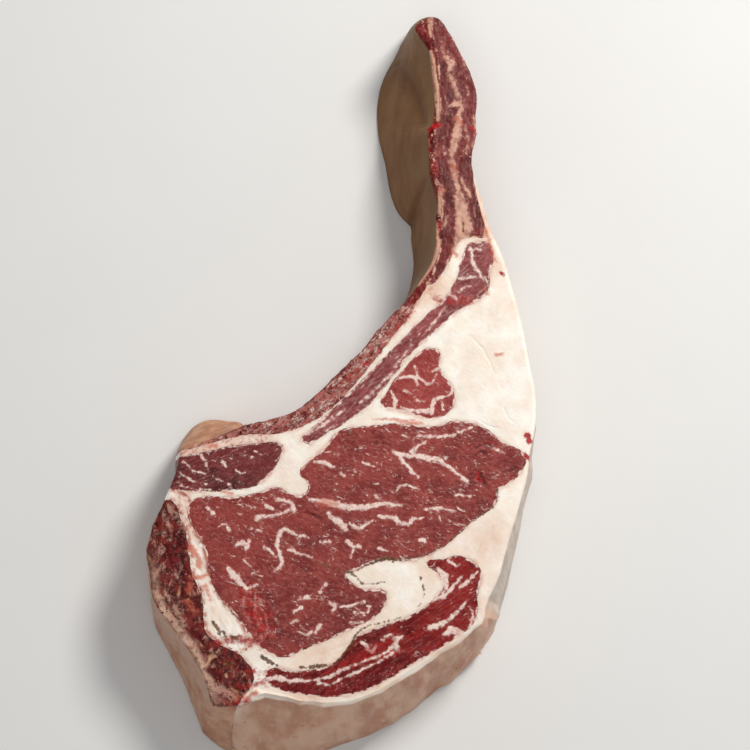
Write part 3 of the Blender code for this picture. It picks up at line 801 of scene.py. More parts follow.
def fill_cap(places, triangles, rim, step, height, upward):
    """Closes the hole with a net of triangles whose points lie at the given height."""
    around = np.unique(rim)
    lines = np.searchsorted(around, rim)
    flat = places[around, :2]
    plan = np.vstack((flat, net_points(flat, lines, step)))
    spots = [Vector((float(x), float(y))) for x, y in plan]
    _, _, cells, origins = delaunay_2d_cdt(spots, lines.tolist(), [], 0, 1e-7)[:4]
    cells = [[origins[corner][0] for corner in cell] for cell in cells]
    cells = np.array(inside_outline(cells, len(flat), lines))
    heights = height(plan)
    places[around, 2] = heights[:len(around)]
    inner = np.arange(len(places), len(places) + len(plan) - len(around))
    numbers = np.concatenate((around, inner))
    places = np.vstack((places, np.column_stack((plan, heights))[len(around):]))
    cells = numbers[cells if upward else cells[:, ::-1]]
    return places, np.vstack((triangles, cells))


# ---- relief of the cut faces ----

def rim_drop(gap, points):
    """How much the rim of the cut face rounds off at a distance from it."""
    radius = RIM_RADIUS + 0.7 * noise_field(points, 9.0, 31)
    share = np.clip(1 - gap / radius, 0, 1)
    return radius * (1 - np.sqrt(1 - share * share))


def lean_relief(points):
    """Cut muscle: bundles of fibres parted by fine grooves, torn lumps and wet hollows."""
    groove = 1 - np.abs(noise_field(points * (0.8, 1.2, 1), 2.6, 41)) * 2.2
    groove = np.clip(groove, 0, 1) ** 2
    lumps = rough_share(points) * layered_noise(points, 4.0, 43, 2)
    torn = smooth_step(stroke_field(points[:, :2], HOLLOWS), -1.0, 0.8)
    swell = 0.16 * noise_field(points, 7.0, 44)
    return swell - 0.10 * groove + 0.07 * noise_field(points, 1.5, 45) + 0.85 * lumps - 0.7 * torn


def fat_relief(points):
    """Smooth fat with shallow creases."""
    crease = smooth_step(grown_field(points, FAT_CREASES, 0.5, 5.0, 51), -0.6, 0.4)
    return 0.22 * noise_field(points, 9.0, 52) + 0.06 * noise_field(points, 2.4, 53) - 0.3 * crease


def sawn_relief(points):
    """Sawn bone and gristle: crumbly, with open pores."""
    pores = smooth_step(noise_field(points, 2.1, 61), 0.25, 0.6)
    return 0.42 * layered_noise(points, 3.6, 62, 3) - 0.75 * pores + 0.3 * noise_field(points, 8.0, 63)


def chine_relief(points):
    """Torn bone and gristle in soft lumps, with a few deep gaps."""
    gaps = smooth_step(noise_field(points, 4.2, 64), 0.35, 0.7)
    return 0.55 * layered_noise(points, 6.0, 65, 2) - 1.0 * gaps + 0.12 * noise_field(points, 1.8, 66)


def handle_relief(points):
    """Ragged meat and fat between the rib and the handle's edge."""
    return lean_relief(points) + 0.42 * layered_noise(points, 5.0, 46, 2)


def ligament_relief(points):
    """Long fibres over a low swell."""
    along = points * (1.0, 0.35, 1)
    return 0.25 * noise_field(along, 3.0, 71) + 0.3 * noise_field(points, 8.0, 72)


def rib_relief(points):
    """Meat on the handle, sawn bone further down."""
    sawn = sawn_share(points)
    return (1 - sawn) * handle_relief(points) + sawn * 0.8 * sawn_relief(points)


def front_height(plan, cut, seam_lines, rim_lines):
    """Height of a piece's front cut face over the plan places."""
    points = np.column_stack((plan, np.zeros(len(plan))))
    seam_gap, rim_gap = (-stroke_field(plan, lines) for lines in (seam_lines, rim_lines))
    height = FACE + cut.level + 0.3 * noise_field(points, 42.0, 32) + 0.12 * noise_field(points, 17.0, 33)
    height += cut.relief(points) - rim_drop(rim_gap, points)
    height += VEIN_HEIGHT * smooth_step(vein_field(points, cut.fat, 2.0), -0.5, 0.4)
    height -= SEAM_DENT * np.exp(-(seam_gap / 0.7) ** 2)
    return height + LIP_HEIGHT * smooth_step(grown_field(points, RAISED_LIP, 0.5, 5.0, 35), -1.2, 1.2)


def back_height(plan):
    """Height of the back cut face, which all but touches the floor."""
    points = np.column_stack((plan, np.zeros(len(plan))))
    return 0.22 + 0.17 * noise_field(points, 14.0, 36)


# ---- the pieces ----

def add_object(name, mesh):
    """An object of the scene that shows the mesh."""
    item = bpy.data.objects.new(name, mesh)
    bpy.context.scene.collection.objects.link(item)
    return item


def store(mesh, name, values):
    attribute = mesh.attributes.new(name, "FLOAT", "POINT")
    attribute.data.foreach_set("value", np.asarray(values, np.float32))


def store_fields(mesh, fat, seam_lines, rim_lines):
    """Puts the distance fields that the finishes read on the vertices of a piece."""
    places = np.zeros(len(mesh.vertices) * 3)
    mesh.vertices.foreach_get("co", places)
    points = places.reshape(-1, 3) / MM
    flat = points[:, :2]
    height = points[:, 2]
    below = smooth_step(RIM_RING + 0.3 - height, 0.0, 1.0) * smooth_step(height, 0.4, 1.4)
    fields = {
        "seam_gap": -stroke_field(flat, seam_lines),
        "rim_gap": -stroke_field(flat, rim_lines),
        "fat_line": vein_field(points, fat, 3.0),
        "torn_meat": rough_share(points),
        "tone": glow(flat, TONE_SPOTS),
        "valley": valley_field(points),
        "warm": glow(flat, WARM_SPOTS),
        "pale_edge": np.clip(glow(flat, PALE_EDGE_SPOTS), 0, 1),
        "sawn": sawn_share(points),
        "outer_wall": below,
    }
    # Stains narrow with depth, so that they only run a little way down the outer walls.
    fade = 0.5 * np.clip(FACE - 3.0 - height, 0, 12)
    for label, *stain in STAINS:
        fields[label] = grown_field(points, *stain, 4.0) - fade
    for kind, share in wall_shares(flat).items():
        fields[kind + "_wall"] = share * below
    for label, values in fields.items():
        store(mesh, label, values)


def dress(name, solid, seams, rim_lines, finish):
    """The dressed piece that stands for one solid of the frame."""
    cut = PIECES[name]
    seam_lines = seam_strokes(solid, seams)
    if name != "fat":
        spread_seams(solid, seams)
    places, triangles, outer = refine(*open_shell(solid, seams))
    roughen_walls(places, triangles[outer])
    front_rim, back_rim = rim_edges(places, triangles)
    fray(places, front_rim, np.unique(triangles[outer]))
    places, triangles = fill_cap(
        places, triangles, front_rim, FRONT_STEP,
        lambda plan: front_height(plan, cut, seam_lines, rim_lines), True,
    )
    places, triangles = fill_cap(places, triangles, back_rim, BACK_STEP, back_height, False)
    mesh = bpy.data.meshes.new(name + "_dressed")
    mesh.from_pydata((places * MM).tolist(), [], triangles.tolist())
    piece = add_object(cut.piece, mesh)
    store_fields(mesh, cut.fat, seam_lines, rim_lines)
    mesh.materials.append(finish)
    mesh.shade_smooth()
    mesh.set_sharp_from_angle(angle=SHARP)
    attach(piece, "root")
    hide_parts(name)
    return piece


def dress_all(finishes):
    solids = {name: cad_copy(name) for name in PIECES}
    trees = {name: BVHTree.FromBMesh(solid) for name, solid in solids.items()}
    seams = {name: seam_faces(name, solid, trees) for name, solid in solids.items()}
    rim_lines = [line for name, solid in solids.items() for line in rim_strokes(solid, seams[name])]
    pieces = {}
    for name, solid in solids.items():
        pieces[name] = dress(name, solid, seams[name], rim_lines, finishes[PIECES[name].finish])
        solid.free()
    return pieces


# ---- finishes ----

def srgb(red, green, blue):
    """Linear colour of a surface from the values, 0 to 255, that a picture of it shows."""
    levels = []
    for value in (red, green, blue):
        share = value / 255
        levels.append(share / 12.92 if share <= 0.04045 else ((share + 0.055) / 1.055) ** 2.4)
    return (*levels, 1.0)


class Wiring:
    """A node tree that is built with short calls."""

    def __init__(self, tree):
        self.tree = tree

    def feed(self, socket, value):
        if isinstance(value, bpy.types.NodeSocket):
            self.tree.links.new(value, socket)
        else:
            socket.default_value = value

    def node(self, kind, fed=(), **settings):
        """The outputs of a new node; fed gives its inputs, by name or number, sockets or values."""
        made = self.tree.nodes.new(kind)
        for key, value in settings.items():
            setattr(made, key, value)
        for label, value in dict(fed).items():
            self.feed(made.inputs[label], value)
        return made.outputs

    def math(self, operation, *values):
        return self.node("ShaderNodeMath", enumerate(values), operation=operation)[0]

    def push(self, colour, amount):
        """A noise colour as a shift to either side, times the amount."""
        middle = {0: colour, 1: (0.5, 0.5, 0.5)}
        centred = self.node("ShaderNodeVectorMath", middle, operation="SUBTRACT")[0]
        return self.node("ShaderNodeVectorMath", {0: centred, "Scale": amount}, operation="SCALE")[0]


class Finish(Wiring):
    """A material; sizes are in mm."""

    def __init__(self, name):
        self.material = bpy.data.materials.new(name)
        self.material.use_nodes = True
        super().__init__(self.material.node_tree)
        self.shader = self.tree.nodes["Principled BSDF"].inputs
        self.place = self.node("ShaderNodeTexCoord")["Object"]

    def plus(self, first, second):
        return self.math("ADD", first, second)

    def minus(self, first, second):
        return self.math("SUBTRACT", first, second)

    def times(self, first, second):
        return self.math("MULTIPLY", first, second)

    def larger(self, first, second):
        return self.math("MAXIMUM", first, second)

    def heap(self, height, more, strength):
        """The height with more on top, times its strength."""
        return self.math("MULTIPLY_ADD", more, strength, height)

    def field(self, name):
        return self.node("ShaderNodeAttribute", attribute_name=name)["Fac"]

    def grain(self, length, width, height, turn=0.0):
        """Object coordinates in units of the given sizes, turned along a grain on the plan."""
        fed = {
            "Vector": self.place, "Rotation": (0, 0, math.radians(turn)),
            "Scale": (length * MM, width * MM, height * MM),
        }
        return self.node("ShaderNodeMapping", fed, vector_type="TEXTURE")["Vector"]

    def noise_at(self, places, detail=2.0, roughness=0.5, distortion=0.0, output="Fac"):
        fed = {
            "Vector": places, "Scale": 1.0, "Detail": detail, "Roughness": roughness,
            "Distortion": distortion,
        }
        return self.node("ShaderNodeTexNoise", fed)[output]

    def noise(self, size, *rest):
        """Noise of one size, or of a length, width, height and turn; detail and roughness follow."""
        grain = size if isinstance(size, tuple) else (size, size, size)
        return self.noise_at(self.grain(*grain), *rest)

    def patches(self, noise, low, high, first=0.0, last=1.0):
        """Soft patches between two levels of a noise, from the first value to the last."""
        return self.ramp(self.noise(*noise), low, high, first, last)

    def bent(self, places, amount, detail):
        """The same places, pushed about so that cells lose their straight sides."""
        push = self.push(self.noise_at(places, detail, output="Color"), amount)
        return self.node("ShaderNodeVectorMath", {0: places, 1: push}, operation="ADD")[0]

    def cells(self, grain, bend, detail):
        """Cells along a grain, each with a colour of its own and the distance from its middle."""
        places = self.bent(self.grain(*grain), bend, detail)
        return self.node("ShaderNodeTexVoronoi", {"Vector": places, "Scale": 1.0})

    def lots(self, cells):
        """Three random values, 0 to 1, of the cell that each place lies in."""
        return self.node("ShaderNodeSeparateColor", {0: cells["Color"]})

    def ramp(self, value, low, high, first=0.0, last=1.0):
        fed = enumerate((value, low, high, first, last))
        return self.node("ShaderNodeMapRange", fed, interpolation_type="SMOOTHSTEP")[0]

    def mix(self, share, below, above):
        return self.node("ShaderNodeMix", {0: share, 6: below, 7: above}, data_type="RGBA")[2]

    def over(self, colour, *layers):
        """The colour under layers, each a share and the colour that it lays on top."""
        for share, above in layers:
            colour = self.mix(share, colour, above)
        return colour

    def ragged(self, field, size, amount, soft=0.15, offset=0.0, detail=4.0):
        """1 inside a drawn field, 0 outside, with an edge that noise makes ragged."""
        value = self.heap(field, self.minus(self.noise(size, detail, 0.62), 0.5), amount)
        return self.ramp(value, offset - soft, offset + soft)

    def done(self, colour, roughness, height, coat, coat_roughness, depth, soak, gloss):
        """The material, with relief from a height in mm, a moist film and light soaking in."""
        bump = self.node("ShaderNodeBump", {"Strength": 1.0, "Distance": MM, "Height": height})[0]
        fed = {
            "Base Color": colour, "Roughness": roughness, "Normal": bump, "Coat Normal": bump,
            "Coat Weight": coat, "Coat Roughness": coat_roughness, "Specular IOR Level": gloss,
            "Subsurface Weight": soak, "Subsurface Scale": depth * MM,
            "Subsurface Radius": (1.0, 0.35, 0.22),
        }
        for label, value in fed.items():
            self.feed(self.shader[label], value)
        return self.material


FAT_WHITE = srgb(254, 246, 236)
FAT_CREAM = srgb(245, 231, 216)
FAT_TAN = srgb(222, 176, 146)
FAT_PINK = srgb(222, 178, 160)
VEIN_FAT = srgb(244, 222, 211)
VEIN_PINK = srgb(222, 174, 162)
HANDLE_CREAM = srgb(212, 164, 140)
BROWN_SKIN = srgb(128, 90, 58)
BROWN_DARK = srgb(82, 50, 28)
ORANGE_STAIN = srgb(208, 112, 84)
BLOOD_RED = srgb(180, 16, 24)
BLOOD_DARK = srgb(92, 4, 8)
CLOT_PURPLE = srgb(84, 8, 12)
BRIGHT_RED = srgb(180, 34, 30)
MOIST_RED = srgb(136, 20, 20)
# Pale pink, a painted highlight on the lumps of torn meat.
TORN_HIGHLIGHT_PINK = srgb(206, 122, 112)
# Colours of the rib's membrane, darkened as painted shade on that side.
SHADED_MEMBRANE_TAN = srgb(124, 84, 52)
SHADED_MEMBRANE_PALE = srgb(148, 107, 72)
SHADED_MEMBRANE_BROWN = srgb(98, 60, 34)
SAWN_RED = srgb(98, 18, 18)
SAWN_PINK = srgb(184, 104, 96)
SAWN_DARK = srgb(56, 12, 10)
LACE_BEIGE = srgb(232, 202, 192)

# Cut muscles: three reds from deep to pale, the turn of the grain, the share of flecks,
# how streaky it is, the colour of its veins and how soft their edges are.
EYE = (srgb(112, 30, 28), srgb(144, 52, 46), srgb(180, 94, 86), -20.0, 0.015, 0.0, VEIN_FAT, 0.4)
CHINE_SIDE = (srgb(68, 8, 10), srgb(110, 30, 30), srgb(148, 72, 70), 24.0, -0.01, 0.12, VEIN_FAT, 0.4)
DECKLE = (srgb(134, 38, 35), srgb(156, 56, 52), srgb(186, 94, 87), -25.0, -0.01, 0.0, VEIN_FAT, 0.4)
CAP = (srgb(92, 2, 6), srgb(138, 26, 26), srgb(164, 68, 62), 32.0, -0.02, 0.1, VEIN_FAT, 0.4)
STRIP = (srgb(108, 30, 34), srgb(140, 58, 58), srgb(182, 112, 110), 40.0, -0.005, 0.35, VEIN_FAT, 0.6)
HANDLE_REDS = (srgb(72, 8, 10), srgb(112, 28, 28), srgb(152, 78, 74))
HANDLE = (*HANDLE_REDS, 84.0, 0.0, 0.2, HANDLE_CREAM, 0.85)
RIB = (*HANDLE_REDS, 84.0, 0.0, 0.1, HANDLE_CREAM, 0.85)


def stains(finish, colour, fresh_share=0.93, orange_share=0.8):
    """Brown skin lines, orange stains, fresh red and clotted blood over any tissue."""
    moist = finish.mix(finish.patches((2.0, 4.0, 0.6), 0.40, 0.60), MOIST_RED, BRIGHT_RED)
    uneven = finish.patches((2.6, 4.0, 0.6), 0.36, 0.60, 0.45 * fresh_share, fresh_share)
    skin = finish.mix(finish.patches((1.5, 3.0), 0.44, 0.60), BROWN_DARK, BROWN_SKIN)
    clotted = finish.mix(finish.patches((1.4, 3.0), 0.32, 0.5), BLOOD_DARK, BLOOD_RED)
    # Each field's noise size, amount and softness, how much it covers, and its colour.
    layers = {
        "orange_stain": ((1.8, 3.6, 1.1), orange_share, ORANGE_STAIN),
        "fresh_red": ((3.0, 8.0, 1.3), uneven, moist),
        "brown_line": ((1.6, 3.4, 0.4), 0.94, skin),
        "dark_clot": ((2.4, 3.0, 0.8), 0.88, CLOT_PURPLE),
        "blood": ((2.2, 5.0, 0.6), 0.94, clotted),
    }
    for field, (edge, cover, tint) in layers.items():
        share = finish.ragged(finish.field(field), *edge)
        colour = finish.mix(finish.times(share, cover), colour, tint)
    return colour, share


def lace(finish, noise, wide, narrow):
    """Thin threads where the noise passes through its middle."""
    return finish.ramp(finish.math("ABSOLUTE", finish.minus(noise, 0.5)), wide, narrow)


def marbling(finish, turn, share):
    """Small streaks, threads and specks of fat between the fibres, 0 to 1."""
    crowd = finish.patches((12.0, 2.0), 0.34, 0.66, 0.045, -0.03)
    web = lace(finish, finish.noise((6.5, 4.0, 5.0, turn), 4.0, 0.55, 0.8), 0.022, 0.004)
    total = finish.times(web, finish.patches((4.2, 3.0), 0.56 - share, 0.68 - share, 0.0, 0.6))
    for length, width, level, strength in STREAKS:
        low = finish.plus(crowd, level - share)
        streak = finish.noise((length, width, length * 0.6, turn), 4.0, 0.6, 0.5)
        layer = finish.ramp(streak, low, finish.plus(low, 0.10))
        total = finish.larger(total, finish.times(layer, strength))
    return total


def lean_colour(finish, deep, middle, pale, turn, flecks, streaks, vein, soft):
    """Colour of cut muscle and its relief in mm."""
    patchy = finish.ramp(finish.plus(finish.noise(13.0, 3.0), finish.field("tone")), 0.32, 0.66)
    # Bundles of fibres, each a little paler or darker than the next.
    bundles = finish.cells((2.0, 1.15, 1.7, turn), 0.9, 2.0)
    lots = finish.lots(bundles)
    torn = finish.field("torn_meat")
    lumps = finish.noise(3.4, 4.0, 0.6, 0.8)
    # Veins along the drawn strokes, fat along the seams, and the marbling between them.
    line = finish.field("fat_line")
    veins = finish.ragged(line, 2.8, 4.8 if soft < 0.5 else 6.6, soft + 0.1, 1.8 * soft - 0.8)
    veins = finish.times(veins, finish.patches((3.2, 3.0), 0.34, 0.54, 1.0 - 0.6 * soft, 1.0))
    edge = finish.ragged(finish.minus(0.15, finish.field("seam_gap")), 4.0, SEAM_RAG, 0.3, detail=2.0)
    fat = finish.larger(finish.larger(veins, edge), marbling(finish, turn, flecks))
    colour = finish.over(
        deep,
        (patchy, middle),
        (finish.ramp(lots[0], 0.35, 1.0, 0.0, 0.42), pale),
        (finish.ramp(lots[1], 0.6, 1.0, 0.0, 0.40), deep),
        (finish.patches(((4.2, 1.5, 2.6, turn), 5.0, 0.66), 0.50, 0.78, 0.0, 0.62), pale),
        (finish.patches((0.8, 3.0, 0.6), 0.46, 0.28, 0.0, 0.5), deep),
        (finish.patches(((11.0, 1.0, 5.0, turn), 4.0, 0.6), 0.52, 0.76, 0.0, streaks), vein),
        # Freshly torn meat is bright red in the hollows, and its lumps get a painted highlight in pale
        # pink.
        (finish.times(torn, finish.ramp(lumps, 0.54, 0.42, 0.0, 0.8)), BRIGHT_RED),
        (finish.times(torn, finish.ramp(lumps, 0.53, 0.62, 0.0, 0.8)), TORN_HIGHLIGHT_PINK),
        (finish.ramp(line, -1.6, 0.3, 0.0, 0.35), pale),
        (finish.times(fat, 0.94), finish.mix(finish.patches((2.2, 3.0), 0.28, 0.50), VEIN_PINK, vein)),
    )
    height = finish.heap(finish.times(finish.noise(0.9, 4.0, 0.66), 0.34), bundles["Distance"], -0.05)
    return colour, finish.heap(height, fat, 0.06)


def lean_finish(name, looks, gloss=0.2):
    """Cut muscle, a little deeper in colour where its outer wall is dry."""
    finish = Finish(name)
    colour, height = lean_colour(finish, *looks)
    dry = finish.ragged(finish.minus(finish.field("outer_wall"), 0.5), 5.0, 0.9, 0.3)
    deep = looks[0]
    colour, blood = stains(finish, finish.mix(finish.times(dry, 0.35), colour, deep), 0.68, 0.6)
    rough = finish.ramp(blood, 0.0, 1.0, finish.patches((1.1, 2.0), 0.3, 0.7, 0.34, 0.55), 0.2)
    return finish.done(colour, rough, height, 0.6 * gloss, 0.14, 1.4, 0.14, gloss)


def fat_colour(finish):
    """Colour and relief of the fat on the cut face, pinker where it is a thin seam."""
    tone, seam_gap = finish.field("tone"), finish.field("seam_gap")
    blush = finish.times(finish.ramp(seam_gap, 2.6, 0.1), finish.patches((4.0, 3.0), 0.36, 0.7, 0.12, 0.85))
    specks = finish.patches((2.6, 4.0, 0.65), 0.50, 0.60)
    # The same noise as in the meat moves the line where the two meet, the other way round.
    meat = finish.ragged(finish.minus(-0.15, seam_gap), 4.0, -SEAM_RAG, 0.3, detail=2.0)
    fibres = finish.noise((5.0, 0.9, 2.0, -40.0), 3.0, 0.6)
    dried = finish.patches((6.0, 4.0, 0.6), 0.3, 0.7, 0.6, 1.2)
    colour = finish.over(
        FAT_CREAM,
        (finish.patches((11.0, 3.0), 0.35, 0.68), FAT_WHITE),
        (finish.plus(blush, finish.ramp(tone, 0.0, 1.0, 0.0, 0.8)), FAT_PINK),
        (finish.times(specks, finish.ramp(tone, 0.3, 0.6, 0.0, 0.8)), srgb(168, 88, 78)),
        (finish.times(meat, 0.9), srgb(148, 66, 60)),
        (finish.ramp(fibres, 0.52, 0.76, 0.0, 0.45), FAT_CREAM),
        (finish.patches((5.0, 4.0, 0.6), 0.58, 0.76, 0.0, 0.35), srgb(236, 208, 178)),
        (finish.times(finish.field("warm"), dried), FAT_TAN),
    )
    return colour, finish.heap(finish.times(finish.noise(1.2, 3.0, 0.55), 0.12), fibres, 0.09)


def fat_finish():
    finish = Finish("creamy_fat")
    colour, height = fat_colour(finish)
    # The outer side is drier and duller, with pink and grey streaks down its height; its grey darkening is
    # painted shade.
    side = finish.over(
        srgb(190, 172, 158),
        (finish.patches(((6.5, 6.5, 34.0), 4.0, 0.55), 0.35, 0.7), srgb(214, 199, 185)),
        (finish.patches((8.0, 4.0, 0.6), 0.58, 0.78, 0.0, 0.5), srgb(188, 132, 112)),
        (finish.patches((12.0, 2.0), 0.52, 0.72, 0.0, 0.45), srgb(176, 168, 160)),
    )
    # The lower end is tan and pink, with folds down its height.
    end = finish.over(
        srgb(196, 142, 114),
        (finish.patches(((10.0, 10.0, 60.0), 3.0, 0.5), 0.32, 0.66), srgb(224, 182, 154)),
        (finish.patches((15.0, 3.0, 0.5), 0.52, 0.74, 0.0, 0.5), srgb(204, 132, 110)),
        (finish.patches(((3.4, 3.4, 26.0), 3.0, 0.5), 0.58, 0.78, 0.0, 0.5), srgb(236, 204, 180)),
    )
    colour = finish.over(
        colour,
        (finish.field("outer_fat_wall"), side),
        (finish.field("lower_end_wall"), end),
        (finish.times(finish.field("handle_side_wall"), 0.75), srgb(206, 164, 138)),
    )
    colour, blood = stains(finish, colour)
    height = finish.heap(height, finish.times(finish.noise(3.6, 3.0, 0.5), 0.3), finish.field("outer_wall"))
    return finish.done(colour, finish.ramp(blood, 0.0, 1.0, 0.46, 0.18), height, 0.12, 0.3, 2.6, 0.26, 0.28)


def sawn_colour(finish):
    """Colour and relief of sawn bone: red marrow in streaks, with a beige lace and dark pores."""
    streak = finish.noise_at(finish.bent(finish.grain(13.0, 3.2, 6.0, 40.0), 0.5, 3.0), 5.0, 0.62)
    threads = lace(finish, finish.noise((6.5, 3.2, 4.0, 40.0), 4.0, 0.6, 0.6), 0.06, 0.015)
    beige = finish.mix(finish.patches((1.6, 2.0), 0.3, 0.6), srgb(178, 120, 110), LACE_BEIGE)
    lumps = finish.cells((4.4, 2.6, 3.6, 40.0), 1.0, 3.0)
    chosen = finish.math("LESS_THAN", finish.lots(lumps)[0], 0.2)
    pores = finish.patches((3.4, 3.0, 0.6), 0.40, 0.30)
    colour = finish.over(
        SAWN_RED,
        (finish.ramp(streak, 0.34, 0.62), SAWN_PINK),
        (finish.times(threads, finish.patches((8.0, 3.0), 0.38, 0.60, 0.25, 0.95)), beige),
        (finish.times(chosen, finish.ramp(lumps["Distance"], 0.5, 0.2, 0.0, 0.8)), LACE_BEIGE),
        (finish.times(pores, 0.85), SAWN_DARK),
    )
    height = finish.times(finish.plus(threads, finish.noise(0.9, 3.0)), 0.25)
    return colour, finish.heap(height, pores, -0.4)


def rib_finish():
    finish = Finish("rib_with_membrane")
    meat, height = lean_colour(finish, *RIB)
    sawn, sawn_height = sawn_colour(finish)
    bony, membrane, bump, sawn_wall = (
        finish.field(name) for name in ("sawn", "membrane_wall", "chine_bump_wall", "sawn_rib_wall"))
    # Pale band of bone that runs along the seam under the sawn edge.
    band = finish.ragged(finish.field("fat_line"), 1.3, 1.2, 0.35)
    # The chest wall side is a smooth skin over the bone, tan with long paler streaks, all darkened to paint
    # the shade that this side lies in.
    streak = finish.noise((46.0, 9.0, 14.0, 78.0), 3.0, 0.5)
    skin = finish.over(
        SHADED_MEMBRANE_TAN,
        (finish.ramp(streak, 0.34, 0.68), SHADED_MEMBRANE_PALE),
        (finish.patches((21.0, 3.0), 0.50, 0.74, 0.0, 0.5), SHADED_MEMBRANE_BROWN),
        (finish.patches((2.4, 3.0, 0.6), 0.58, 0.82, 0.0, 0.2), SHADED_MEMBRANE_BROWN),
        # Painted shade: the valleys are painted a darker brown.
        (finish.ramp(finish.field("valley"), -5.0, 1.5, 0.0, 0.6), SHADED_MEMBRANE_BROWN),
        # Painted highlight: a paler, greyer band along the rim.
        (finish.ramp(finish.field("rim_gap"), 9.0, 2.0, 0.0, 0.65), srgb(142, 112, 84)),
    )
    tan = finish.mix(finish.patches((7.0, 3.0), 0.35, 0.7), srgb(178, 122, 92), srgb(206, 158, 124))
    upright = finish.patches(((7.0, 7.0, 24.0), 4.0, 0.55), 0.34, 0.66)
    calm = finish.mix(upright, srgb(128, 56, 48), srgb(186, 126, 106))
    colour = finish.over(
        meat,
        (bony, sawn),
        (finish.times(band, 0.85), HANDLE_CREAM),
        (membrane, skin),
        (bump, tan),
        (finish.times(sawn_wall, 0.9), finish.mix(0.65, sawn, calm)),
    )
    colour = stains(finish, colour, 0.75, 0.6)[0]
    skinny = finish.plus(membrane, bump)
    height = finish.heap(height, finish.larger(bony, sawn_wall), sawn_height)
    fine = finish.times(finish.times(streak, 0.5), skinny)
    height = finish.heap(fine, height, finish.minus(1.0, skinny))
    return finish.done(colour, finish.ramp(skinny, 0.0, 1.0, 0.5, 0.48), height, 0.02, 0.3, 1.2, 0.1, 0.05)


def chine_finish():
    finish = Finish("rough_chine_bone")
    cream = finish.mix(finish.patches((3.2, 3.0, 0.6), 0.36, 0.62), srgb(150, 86, 76), srgb(210, 174, 158))
    lumps = finish.cells((8.0, 5.0, 6.0, 100.0), 1.8, 4.0)
    knobs = finish.ramp(lumps["Distance"], 0.42, 0.2)
    fatty = finish.times(knobs, finish.ramp(finish.lots(lumps)[0], 0.60, 0.72))
    fatty = finish.larger(fatty, finish.ragged(finish.field("fat_line"), 2.2, 9.0, 1.0))
    gaps = finish.patches((3.0, 4.0, 0.6), 0.42, 0.33, 0.0, 0.8)
    wall = finish.plus(finish.field("chine_wall"), finish.field("lower_end_wall"))
    bone = finish.over(
        srgb(194, 138, 108),
        (finish.patches((9.0, 3.0, 0.55), 0.36, 0.66), srgb(218, 174, 144)),
        (finish.patches((14.0, 3.0, 0.6), 0.56, 0.76, 0.0, 0.4), srgb(168, 84, 66)),
    )
    rim = finish.times(finish.ramp(finish.field("rim_gap"), 6.5, 3.0), finish.field("pale_edge"))
    rim = finish.times(rim, finish.patches((8.0, 3.0), 0.30, 0.52, 0.3, 1.0))
    colour = finish.over(
        srgb(66, 6, 8),
        (finish.patches((5.0, 5.0, 0.65), 0.38, 0.6), srgb(118, 30, 26)),
        (finish.patches(((8.0, 4.0, 6.0, 78.0), 5.0, 0.66, 0.8), 0.54, 0.68, 0.0, 0.62), cream),
        (finish.times(fatty, 0.6), srgb(202, 156, 138)),
        (finish.patches((1.8, 4.0, 0.62), 0.58, 0.72, 0.0, 0.45), srgb(196, 150, 132)),
        (gaps, srgb(58, 10, 10)),
        (finish.times(wall, 0.92), bone),
        (rim, srgb(206, 168, 146)),
    )
    colour, blood = stains(finish, colour, 0.8, 0.42)
    height = finish.heap(finish.times(finish.noise(1.8, 4.0, 0.6), 0.6), fatty, 0.5)
    height = finish.times(finish.heap(height, gaps, -0.5), finish.minus(1.0, finish.times(wall, 0.7)))
    return finish.done(colour, finish.ramp(blood, 0.0, 1.0, 0.48, 0.2), height, 0.08, 0.2, 1.6, 0.16, 0.12)


def ligament_finish():
    finish = Finish("cream_ligament")
    colour, height = fat_colour(finish)
    fibres = finish.noise((14.0, 1.6, 6.0, -62.0), 4.0, 0.6)
    red = finish.patches((3.0, 4.0, 0.6), 0.42, 0.58, 0.0, 0.85)
    colour = finish.over(
        colour,
        (finish.ramp(fibres, 0.42, 0.75, 0.0, 0.5), srgb(222, 178, 150)),
        (finish.times(finish.ramp(finish.field("seam_gap"), 2.8, 0.3), red), srgb(170, 76, 62)),
    )
    colour, blood = stains(finish, colour)
    height = finish.heap(height, fibres, 0.3)
    return finish.done(colour, finish.ramp(blood, 0.0, 1.0, 0.42, 0.2), height, 0.14, 0.26, 2.2, 0.22, 0.28)


def crumb_finish(name, first, second, roughness):
    """Small scattered bits, each shaded between two colours."""
    finish = Finish(name)
    colour = finish.mix(finish.patches((3.0, 3.0), 0.4, 0.62), srgb(*first), srgb(*second))
    rough = finish.patches((0.8,), 0.3, 0.7, roughness - 0.08, roughness + 0.08)
    return finish.done(colour, rough, finish.times(finish.noise(0.5, 2.0), 0.1), 0.1, 0.25, 1.2, 0.15, 0.25)


def make_finishes():
    return {
        "eye": lean_finish("eye_meat", EYE),
        "chine_side": lean_finish("chine_meat", CHINE_SIDE),
        "deckle": lean_finish("deckle_meat", DECKLE),
        "cap": lean_finish("cap_meat", CAP, gloss=0.1),
        "strip": lean_finish("short_rib_meat", STRIP),
        "handle": lean_finish("handle_meat", HANDLE),
        "fat": fat_finish(),
        "rib": rib_finish(),
        "chine_bone": chine_finish(),
        "ligament": ligament_finish(),
    }


